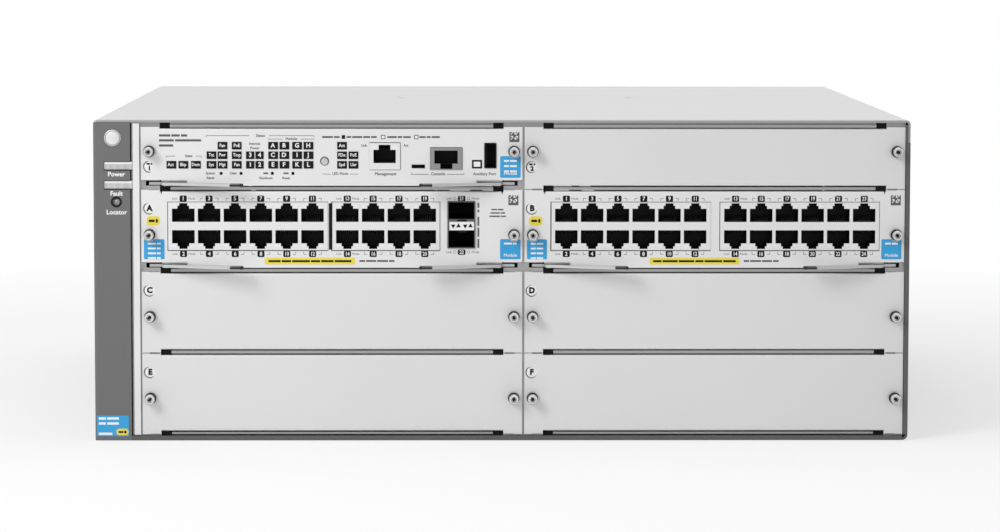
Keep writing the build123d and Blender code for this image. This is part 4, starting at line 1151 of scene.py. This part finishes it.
@dataclass
class ManagementModule:
    """Print and linings of the management module."""

    body: str = "management_module"
    tile_text: tuple[tuple[float, float, str], ...] = (
        (171.5, 164.6, "Act"), (183.9, 164.6, "Bkp"), (196.4, 164.6, "Dwn"),
        (212.0, 155.0, "Tst"), (212.0, 164.6, "Sys"),
        (223.0, 145.6, "Fan"), (223.0, 155.0, "Pwr"), (223.0, 164.6, "Mgt"),
        (237.5, 145.6, "PoE"), (237.5, 155.0, "Tmp"), (237.5, 164.6, "Fan"),
        (250.9, 155.0, "3"), (260.2, 155.0, "4"), (250.9, 164.6, "1"), (260.2, 164.6, "2"),
        (273.4, 145.6, "A"), (284.5, 145.6, "B"), (297.5, 145.6, "G"), (308.7, 145.6, "H"),
        (273.4, 155.0, "C"), (284.5, 155.0, "D"), (297.5, 155.0, "I"), (308.7, 155.0, "J"),
        (273.4, 164.6, "E"), (284.5, 164.6, "F"), (297.5, 164.6, "K"), (308.7, 164.6, "L"),
        (342.2, 145.6, "Act"), (342.2, 155.0, "FDx"), (353.7, 155.0, "PoE"),
        (342.2, 164.6, "Spd"), (353.7, 164.6, "Usr"),
    )
    captions: tuple[tuple[str, float, float, float], ...] = (
        ("Status", 261.0, 135.8, 2.0), ("Modules", 292.0, 138.9, 1.9),
        ("Internal", 255.2, 143.8, 1.9), ("Power", 255.4, 148.2, 1.9),
        ("State", 189.5, 156.0, 2.0), ("System", 211.0, 173.2, 1.8), ("Reset", 211.0, 177.8, 1.8),
        ("Clear", 233.8, 173.2, 1.8), ("Shutdown", 266.3, 178.0, 1.8), ("Reset", 286.4, 178.0, 1.8),
        ("LED Mode", 340.5, 173.6, 2.0), ("Link", 364.3, 145.5, 1.8), ("Act", 406.0, 145.5, 1.8),
        ("Management", 385.8, 173.8, 2.3), ("Console", 438.2, 173.8, 2.3),
        ("Auxiliary Port", 484.5, 173.8, 2.2),
    )

    caption_half: float = 0.25
    caption_runs: tuple[tuple[float, float, float], ...] = (
        (207.0, 250.0, 135.8), (269.5, 314.5, 135.8), (268.5, 283.0, 139.2),
        (301.0, 315.0, 139.2), (167.0, 176.0, 156.2), (196.5, 202.0, 156.2),
        (323.0, 331.0, 174.0), (350.5, 358.5, 174.0), (411.5, 429.0, 174.2),
        (447.0, 464.0, 174.2))
    run_ends: tuple[Span, ...] = ((207.0, 135.8), (314.5, 135.8), (167.0, 156.2), (202.0, 156.2),
                                  (411.5, 172.6), (464.0, 172.6))
    run_end_drop: float = 1.6
    title_half: float = 1.1
    titles: tuple[tuple[float, float, float, int], ...] = (
        (135.6, 160.0, 188.0, 3), (140.5, 160.0, 202.0, 2), (145.6, 160.0, 174.0, 1))
    key_rise: Span = (136.2, 138.0)
    key_words: tuple[tuple[float, float, int], ...] = (
        (322.5, 340.0, 2), (347.0, 377.0, 4), (387.5, 411.0, 3), (419.5, 440.0, 3))
    key_solid: Box = (342.0, 135.2, 345.6, 139.0)
    key_hollows: Span = (381.2, 414.2)
    key_outer: Box = (0.0, 135.0, 4.4, 139.2)
    key_inner: Box = (0.8, 135.8, 3.6, 138.4)
    pinhole_notes: Span = (266.3, 286.4)
    pinhole_note: Box = (-2.5, 172.4, 2.5, 174.0)
    jacks: tuple[tuple[str, tuple[Box, Box]], ...] = (
        ("console_jack", ((434.5, 150.6, 457.8, 163.4), (440.5, 163.4, 452.5, 168.4))),
        ("management_jack", ((374.2, 148.8, 396.4, 162.0), (379.4, 144.6, 391.1, 148.8))))
    lining_depth: float = 12.6 * MM
    lining_setback: float = 0.15 * MM
    lining_gap: float = 0.1 * MM
    lining_wall: float = 0.12 * MM
    jack_lights: tuple[Box, ...] = ((372.4, 145.6, 378.0, 149.2), (392.6, 145.6, 398.2, 149.2))
    jack_outlines: tuple[Box, ...] = ((369.8, 142.8, 400.4, 169.6), (430.6, 147.6, 462.2, 169.4))
    outline_half: float = 0.45
    outline_foot: Box = (369.8, 169.2, 400.4, 170.0)
    port_mark: tuple[Box, Box] = ((472.0, 159.8, 482.2, 168.4), (473.8, 161.6, 480.4, 166.6))
    button_place: Span = (324.9, 161.0)
    data_square: Box = (509.4, 132.0, 519.4, 142.0)
    label: Box = (500.2, 156.0, 520.8, 177.6)

    def tiles(self, paint: Print) -> None:
        """White letters on the black status windows.

        Args:
            paint: the print that takes them.
        """
        for x, y, text in self.tile_text:
            short = len(text) == 1
            paint.words("print_white", text, RULER.spot(x, y), (3.3 if short else 2.5) * MM, 0,
                        (0.1 if short else 0.05) * MM, 1.0 if short else 0.9)

    def lines(self, paint: Print) -> None:
        """Thin caption lines, with turned-down ends, and small marks.

        Args:
            paint: the print that takes them.
        """
        half = self.caption_half
        bars = [RULER.area(left, y - half, right, y + half)
                for left, right, y in self.caption_runs]
        bars += [RULER.area(x - half, y, x + half, y + self.run_end_drop)
                 for x, y in self.run_ends]
        paint.bars("print_and_shade_grey", bars)
        for y, left, right, words in self.titles:
            line = RULER.area(left, y - self.title_half, right, y + self.title_half)
            paint.greeked("print_and_shade_grey", line, words)
        top, bottom = self.key_rise
        for left, right, words in self.key_words:
            paint.greeked("print_and_shade_grey", RULER.area(left, top, right, bottom), words)
        paint.panel("print_and_shade_black", RULER.area(*self.key_solid))
        for x in self.key_hollows:
            left, top, right, bottom = self.key_outer
            paint.panel("print_and_shade_grey", RULER.area(x + left, top, x + right, bottom))
            left, top, right, bottom = self.key_inner
            paint.panel("print_white", RULER.area(x + left, top, x + right, bottom), 0.0, 1)
        left, top, right, bottom = self.pinhole_note
        for x in self.pinhole_notes:
            paint.greeked("print_and_shade_grey", RULER.area(x + left, top, x + right, bottom), 1)

    def jack_trim(self, paint: Print) -> None:
        """Linings, light corners and dark outlines of the two jacks.

        Args:
            paint: the module's print.
        """
        linings = []
        for node, mouths in self.jacks:
            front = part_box(node)[0][1]
            for number, mouth in enumerate(mouths):
                area = RULER.area(*mouth)
                size = Vector((area.wide - self.lining_gap, self.lining_depth,
                               area.tall - self.lining_gap))
                centre = Vector((area.x, front + self.lining_setback + size.y / 2, area.z))
                linings.append(Bench.pocket(f"lining_{number}", centre, size, self.lining_wall))
        joined = Bench.join(linings, "management_jack_linings")
        hang(joined, self.body, "jack_black")
        front = Print("management_jack_print", self.body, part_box("management_jack")[0][1])
        for light in self.jack_lights:
            front.panel("window_clear", RULER.area(*light), 0.2 * MM)
        front.finish()
        outlines = []
        half = self.outline_half
        for left, top, right, bottom in self.jack_outlines:
            for edge in (left, right):
                outlines.append(RULER.area(edge - half, top, edge + half, bottom))
            outlines.append(RULER.area(left, top - half, right, top + half))
        outlines.append(RULER.area(*self.outline_foot))
        paint.bars("print_and_shade_black", outlines)

    def build(self) -> None:
        """Make the whole module's dressing."""
        slot = Slot("management_faceplate", self.body)
        paint = Print("management_print", self.body, slot.front)
        windows = Print("management_tiles", self.body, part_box("status_windows")[0][1])
        self.tiles(windows)
        windows.finish()
        for text, x, y, size in self.captions:
            paint.words("print_and_shade_grey", text, RULER.spot(x, y), size * MM, 0, 0.05 * MM)
        self.lines(paint)
        self.jack_trim(paint)
        outer, inner = self.port_mark
        paint.panel("print_and_shade_black", RULER.area(*outer), 0.2 * MM)
        paint.panel("print_white", RULER.area(*inner), 0.1 * MM, 1)
        paint.ring("print_and_shade_grey", RULER.spot(*self.button_place), 2.25 * MM, 0.22 * MM)
        paint.code_square(RULER.area(*self.data_square))
        Labels.blue(paint, RULER.area(*self.label), "Module", 3)
        paint.finish()


@dataclass
class SlotLetters:
    """Letters in the round recesses at the left of each plate."""

    recess: float = 0.3 * MM
    radius: float = 3.1 * MM
    ring_line: float = 0.3 * MM
    seat_radius: float = 2.95 * MM
    letter_size: float = 4.3 * MM
    letter_bold: float = 0.26 * MM
    digit_size: float = 3.3 * MM
    digit_bold: float = 0.2 * MM
    digit_drop: float = 0.9 * MM
    line_rise: float = 1.5 * MM
    line_size: Span = (3.2 * MM, 1.0 * MM)
    letters: tuple[tuple[str, str, str, float, float], ...] = (
        ("A", "a_faceplate", "port_module_a", 150.0, 208.2),
        ("B", "b_faceplate", "port_module_b", 532.2, 208.2),
        ("C", "blank_cover_c", "chassis", 149.6, 290.2),
        ("D", "blank_cover_d", "chassis", 532.2, 290.4),
        ("E", "blank_cover_e", "chassis", 149.6, 372.2),
        ("F", "blank_cover_f", "chassis", 532.2, 372.4),
        ("1", "management_faceplate", "management_module", 150.2, 166.6),
        ("2", "blank_cover_m2", "chassis", 532.2, 167.0),
    )

    def build(self) -> None:
        """Print every letter with a grey ring of painted shade round its recess."""
        for text, node, body, x, y in self.letters:
            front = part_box(node)[0][1]
            paint = Print(f"mark_{text}", body, front + self.recess)
            spot = RULER.spot(x, y)
            paint.add("print_white",
                      Bench.disc("seat", paint.spot(spot), self.seat_radius, paint.proud))
            if text in "12":
                paint.words("print_and_shade_black", text, Patch(spot.x, spot.z - self.digit_drop),
                            self.digit_size, 1, self.digit_bold)
                line = Patch(spot.x, spot.z + self.line_rise, *self.line_size)
                paint.greeked("print_and_shade_black", line, 2, 1)
            else:
                paint.words("print_and_shade_black", text, spot, self.letter_size, 1,
                            self.letter_bold)
            # Grey ring at the recess's rim: painted shade from the rim's wall.
            paint.ring("print_and_shade_grey", spot, self.radius, self.ring_line)
            paint.finish()


@dataclass
class CaptiveScrews:
    """Rings of painted shade round the captive screws' heads, and the dots in their heads."""

    # Radius of the dark ring: painted shade round each screw head.
    seat_radius: float = 2.95 * MM
    seat_wire: float = 0.26 * MM
    collar: float = 1.1 * MM
    dot_radius: float = 0.95 * MM
    dot_thick: float = 0.2 * MM
    inset: float = 4.5 * MM
    port_lift: float = 20.0 * MM
    management_lift: float = 20.65 * MM
    management_height: float = 34.2 * MM

    def places(self, plate: str, body: str) -> list[Vector]:
        """Middles of a plate's two screws on its face.

        Args:
            plate: the plate's node.
            body: the body that the plate belongs to.

        Returns:
            The two places.
        """
        slot, lift = Slot(plate, body), self.port_lift
        if plate in ("management_faceplate", "blank_cover_m2"):
            slot, lift = Slot(plate, body, height=self.management_height), self.management_lift
        return [Vector((x, slot.front, slot.floor + lift))
                for x in (slot.left + self.inset, slot.right - self.inset)]

    def build(self) -> None:
        """Make the painted shade rings and the dots of every slot."""
        blanks = tuple(f"blank_cover_{slot}" for slot in ("m2", "c", "d", "e", "f"))
        groups = (("management_module", "management_screws", ("management_faceplate",)),
                  ("port_module_a", "a_screws", ("a_faceplate",)),
                  ("port_module_b", "b_screws", ("b_faceplate",)),
                  ("chassis", "blank_cover_screws", blanks))
        for body, screws, plates in groups:
            places = [place for plate in plates for place in self.places(plate, body)]
            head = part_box(screws)[0][1]
            # Dark ring on the collar round the head: painted shade.
            seat = Bench.ring("seat", Vector((0, 0, 0)), self.seat_radius, self.seat_wire)
            shade_rings = Bench.copies(seat, f"{body}_screw_seats",
                                 [Matrix.Translation(place - Vector((0, self.collar, 0)))
                                  for place in places])
            hang(shade_rings, body, "grip_and_shade_black")
            dot = Bench.disc("dot", Vector((0, 0, 0)), self.dot_radius, self.dot_thick, 16)
            dots = Bench.copies(dot, f"{body}_screw_dots",
                                [Matrix.Translation(Vector((place.x, head, place.z)))
                                 for place in places])
            hang(dots, body, "print_and_shade_black")


@dataclass
class LeverGrips:
    """Black sleeves on the tips of the ejector levers."""

    length: float = 7.4 * MM
    skin: float = 0.15 * MM
    depth: float = 5.2 * MM

    def build(self) -> None:
        """Make one sleeve for each lever."""
        for prefix in ("management", "a", "b"):
            for side in ("left", "right"):
                node = f"{prefix}_lever_{side}"
                low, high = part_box(node)
                inner = high[0] if side == "left" else low[0]
                way = -1 if side == "left" else 1
                middle = Vector((inner + way * (self.length / 2 - self.skin),
                                 low[1] + self.depth / 2 - self.skin, (low[2] + high[2]) / 2))
                size = Vector((self.length, self.depth, high[2] - low[2] + 0.5 * self.skin))
                sleeve = Bench.block(f"{node}_grip", middle, size)
                Bench.soften(sleeve, 0.5 * MM, 3)
                hang(sleeve, node, "grip_and_shade_black")


@dataclass
class Column:
    """Words, badge place and label on the side column."""

    words: tuple[tuple[str, float], ...] = (("Power", 174.2), ("Fault", 193.4), ("Locator", 212.0))
    word_x: float = 117.4
    word_size: float = 3.5 * MM
    word_bold: float = 0.1 * MM
    badge_place: Span = (113.8, 138.0)
    badge_radius: float = 4.45 * MM
    badge_thick: float = 0.5 * MM
    badge_proud: float = 0.15 * MM
    rim_radius: float = 3.9 * MM
    rim_wire: float = 0.16 * MM
    rim_proud: float = 0.45 * MM
    round_sides: int = 48
    shine_drop: float = 0.95 * MM
    shine_margin: float = 0.8 * MM
    shine_height: float = 0.9 * MM
    shine_corner: float = 0.3 * MM
    shade_drop: float = 0.15 * MM
    shade_height: float = 0.35 * MM
    lens_place: Span = (117.2, 201.6)
    lens_radius: float = 2.5 * MM
    lens_line: float = 0.5 * MM
    label: Box = (96.0, 415.4, 128.0, 436.2)
    label_corner: float = 0.4 * MM
    line_half: float = 1.2
    label_lines: tuple[tuple[float, float, float, int], ...] = (
        (418.4, 98.0, 118.0, 2), (423.4, 98.0, 118.0, 2), (433.8, 98.0, 111.5, 1))
    oval: Box = (115.4, 428.6, 127.8, 435.2)
    oval_corner: float = 0.45
    oval_marks: tuple[tuple[Box, float], ...] = (
        ((117.6, 431.1, 122.6, 432.9), 0.3 * MM), ((123.4, 430.6, 125.6, 433.4), 0.4 * MM))

    def badge(self, paint: Print) -> None:
        """The plain round badge place with its rim.

        Args:
            paint: the print of the column's face.
        """
        spot = RULER.spot(*self.badge_place)
        disc = Bench.disc("column_badge", paint.spot(spot) - Vector((0, self.badge_proud, 0)),
                          self.badge_radius, self.badge_thick, self.round_sides)
        hang(disc, "chassis", "badge_silver")
        rim = Bench.ring("column_badge_rim", paint.spot(spot) - Vector((0, self.rim_proud, 0)),
                         self.rim_radius, self.rim_wire, self.round_sides)
        hang(rim, "chassis", "print_and_shade_grey")

    def pipes(self, paint: Print) -> None:
        """A painted highlight along the top of each of the two light pipes and a painted shade
        under each.

        Args:
            paint: the print of the column's face.
        """
        for node in ("power_light_pipe", "fault_light_pipe"):
            low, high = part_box(node)
            middle, wide = (low[0] + high[0]) / 2, high[0] - low[0]
            shine = Print(f"{node}_shine", "chassis", low[1], "light_pipe")
            # Bright band near the top of the pipe: painted highlight.
            shine.panel("pipe_painted_highlight", Patch(middle, high[2] - self.shine_drop,
                                             wide - self.shine_margin, self.shine_height),
                        self.shine_corner)
            shine.finish()
            # Black line under the pipe: painted shade.
            paint.panel("print_and_shade_black", Patch(middle, low[2] - self.shade_drop, wide,
                                             self.shade_height))

    def foot_label(self, paint: Print) -> None:
        """The blue label at the column's foot with its yellow oval.

        Args:
            paint: the print of the column's face.
        """
        paint.panel("label_blue", RULER.area(*self.label), self.label_corner)
        for y, left, right, words in self.label_lines:
            line = RULER.area(left, y - self.line_half, right, y + self.line_half)
            paint.greeked("print_white", line, words, 1)
        oval = RULER.area(*self.oval)
        paint.panel("label_yellow", oval, oval.tall * self.oval_corner, 1)
        for mark, corner in self.oval_marks:
            paint.panel("print_and_shade_black", RULER.area(*mark), corner, 2)

    def build(self) -> None:
        """Dress the column's face."""
        paint = Print("column_print", "chassis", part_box("indicator_column")[0][1])
        for text, y in self.words:
            paint.words("print_white", text, RULER.spot(self.word_x, y), self.word_size, 0,
                        self.word_bold)
        self.badge(paint)
        self.pipes(paint)
        paint.ring("print_and_shade_black", RULER.spot(*self.lens_place), self.lens_radius, self.lens_line)
        self.foot_label(paint)
        paint.finish()


@dataclass
class PowerInlets:
    """Black bezels of the two mains inlets at the rear."""

    width: float = 27.4 * MM
    height: float = 20.0 * MM
    bezel: float = 2.4 * MM
    bezel_thick: float = 0.9 * MM
    bezel_proud: float = 1.7 * MM
    bezel_edge: float = 0.3 * MM
    side_offset: float = 30.0 * MM
    lift: float = 26.0 * MM

    def build(self) -> None:
        """Make both inlets."""
        for side in ("left", "right"):
            body = f"psu_{side}"
            low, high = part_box(f"{body}_case")
            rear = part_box("chassis_tray")[1][1]
            middle = Vector((high[0] - self.side_offset, rear, low[2] + self.lift))
            bars = []
            for sign in (-1, 1):
                across = Vector((sign * (self.width + self.bezel) / 2, self.bezel_proud, 0))
                bars.append(Bench.block("upright", middle + across,
                                        Vector((self.bezel, self.bezel_thick, self.height))))
                up = Vector((0, self.bezel_proud, sign * (self.height + self.bezel) / 2))
                bars.append(Bench.block("rail", middle + up,
                                        Vector((self.width + 2 * self.bezel, self.bezel_thick,
                                                self.bezel))))
            frame_piece = Bench.join(bars, f"{body}_inlet_bezel")
            Bench.soften(frame_piece, self.bezel_edge)
            hang(frame_piece, body, "black_moulded")


class Studio:
    """Camera, floor and lights."""

    CAMERA_MM = Vector((-28.1, -2237.8, 274.8))
    YAW = 0.766
    PITCH = 5.086
    ROLL = 0.073
    FOCAL_PX = 3706.9
    FRAME_PX = 1000
    FILL = 0.42
    KEY_POWER = 16.0
    TOP_POWER = 9.0

    def camera(self) -> None:
        """Place the camera as the photograph was taken."""
        data = bpy.data.cameras.new("camera")
        data.sensor_width = 36.0
        data.sensor_fit = "HORIZONTAL"
        data.lens = self.FOCAL_PX * data.sensor_width / self.FRAME_PX
        data.clip_start = 0.05
        data.clip_end = 50.0
        view = bpy.data.objects.new("camera", data)
        turn = (Matrix.Rotation(-math.radians(self.YAW), 4, "Z")
                @ Matrix.Rotation(math.radians(90 - self.PITCH), 4, "X")
                @ Matrix.Rotation(math.radians(self.ROLL), 4, "Z"))
        view.matrix_world = Matrix.Translation(self.CAMERA_MM * MM) @ turn
        bpy.context.scene.collection.objects.link(view)
        bpy.context.scene.camera = view

    def lamp(self, name: str, place: Vector, aim: Vector, size: Span, power: float) -> None:
        """Add one soft rectangular lamp.

        Args:
            name: lamp's name.
            place: where it hangs.
            aim: what it points at.
            size: width and height.
            power: watts.
        """
        data = bpy.data.lights.new(name, "AREA")
        data.shape = "RECTANGLE"
        data.size, data.size_y = size
        data.energy = power
        lamp = bpy.data.objects.new(name, data)
        lamp.location = place
        lamp.rotation_euler = (aim - place).to_track_quat("-Z", "Y").to_euler()
        bpy.context.scene.collection.objects.link(lamp)

    def floor(self) -> None:
        """A white floor that keeps the shadow near the object and fades to white."""
        Bench.clear()
        bpy.ops.mesh.primitive_plane_add(size=40.0, location=(0, 0, -0.0002))
        ground = bpy.context.active_object
        ground.name = "floor"
        material = bpy.data.materials.new("floor_white")
        material.use_nodes = True
        nodes, links = material.node_tree.nodes, material.node_tree.links
        shader = nodes["Principled BSDF"]
        shader.inputs["Base Color"].default_value = (*grey(248), 1.0)
        shader.inputs["Roughness"].default_value = 0.9
        shader.inputs["Specular IOR Level"].default_value = 0.1
        glow = nodes.new("ShaderNodeEmission")
        glow.inputs["Color"].default_value = (1.0, 1.0, 1.0, 1.0)
        rays = nodes.new("ShaderNodeLightPath")
        place = nodes.new("ShaderNodeTexCoord")
        reach = nodes.new("ShaderNodeVectorMath")
        reach.operation = "LENGTH"
        links.new(place.outputs["Object"], reach.inputs[0])
        fade = nodes.new("ShaderNodeMapRange")
        fade.inputs["From Min"].default_value = 0.25
        fade.inputs["From Max"].default_value = 0.95
        fade.inputs["To Min"].default_value = 0.55
        fade.inputs["To Max"].default_value = 1.0
        links.new(reach.outputs["Value"], fade.inputs["Value"])
        seen = nodes.new("ShaderNodeMath")
        seen.operation = "MULTIPLY"
        links.new(rays.outputs["Is Camera Ray"], seen.inputs[0])
        links.new(fade.outputs["Result"], seen.inputs[1])
        mix = nodes.new("ShaderNodeMixShader")
        links.new(seen.outputs[0], mix.inputs["Fac"])
        links.new(shader.outputs["BSDF"], mix.inputs[1])
        links.new(glow.outputs["Emission"], mix.inputs[2])
        links.new(mix.outputs["Shader"], nodes["Material Output"].inputs["Surface"])
        ground.data.materials.append(material)

    def world(self) -> None:
        """White to the camera and to reflections, a softer fill on the object."""
        world = bpy.data.worlds.new("studio")
        bpy.context.scene.world = world
        world.use_nodes = True
        nodes, links = world.node_tree.nodes, world.node_tree.links
        back = nodes["Background"]
        rays = nodes.new("ShaderNodeLightPath")
        first = nodes.new("ShaderNodeMath")
        first.operation = "MAXIMUM"
        links.new(rays.outputs["Is Camera Ray"], first.inputs[0])
        links.new(rays.outputs["Is Transmission Ray"], first.inputs[1])
        seen = nodes.new("ShaderNodeMath")
        seen.operation = "MAXIMUM"
        links.new(first.outputs[0], seen.inputs[0])
        links.new(rays.outputs["Is Glossy Ray"], seen.inputs[1])
        level = nodes.new("ShaderNodeMapRange")
        level.inputs["To Min"].default_value = self.FILL
        level.inputs["To Max"].default_value = 1.0
        links.new(seen.outputs[0], level.inputs["Value"])
        back.inputs["Color"].default_value = (1.0, 1.0, 1.0, 1.0)
        links.new(level.outputs["Result"], back.inputs["Strength"])

    def build(self) -> None:
        """Set up the whole studio."""
        self.camera()
        self.floor()
        self.world()
        aim = Vector((0.0, -0.1, 0.08))
        self.lamp("key", Vector((-1.0, -1.3, 1.05)), aim, (0.7, 0.7), self.KEY_POWER)
        self.lamp("overhead", Vector((0.0, 0.2, 1.8)), aim, (1.6, 1.6), self.TOP_POWER)
        bpy.context.scene.view_settings.view_transform = "Standard"


def main() -> None:
    """Build the studio, dress the nodes and add every piece of print and trim."""
    logging.basicConfig(level=logging.INFO, format="%(message)s")
    Studio().build()
    CadNodes().build()
    for part in (ModuleA(), ModuleB(), ManagementModule(), SlotLetters(), CaptiveScrews(),
                 LeverGrips(), Column(), PowerInlets()):
        part.build()


if __name__ == "__main__":
    main()
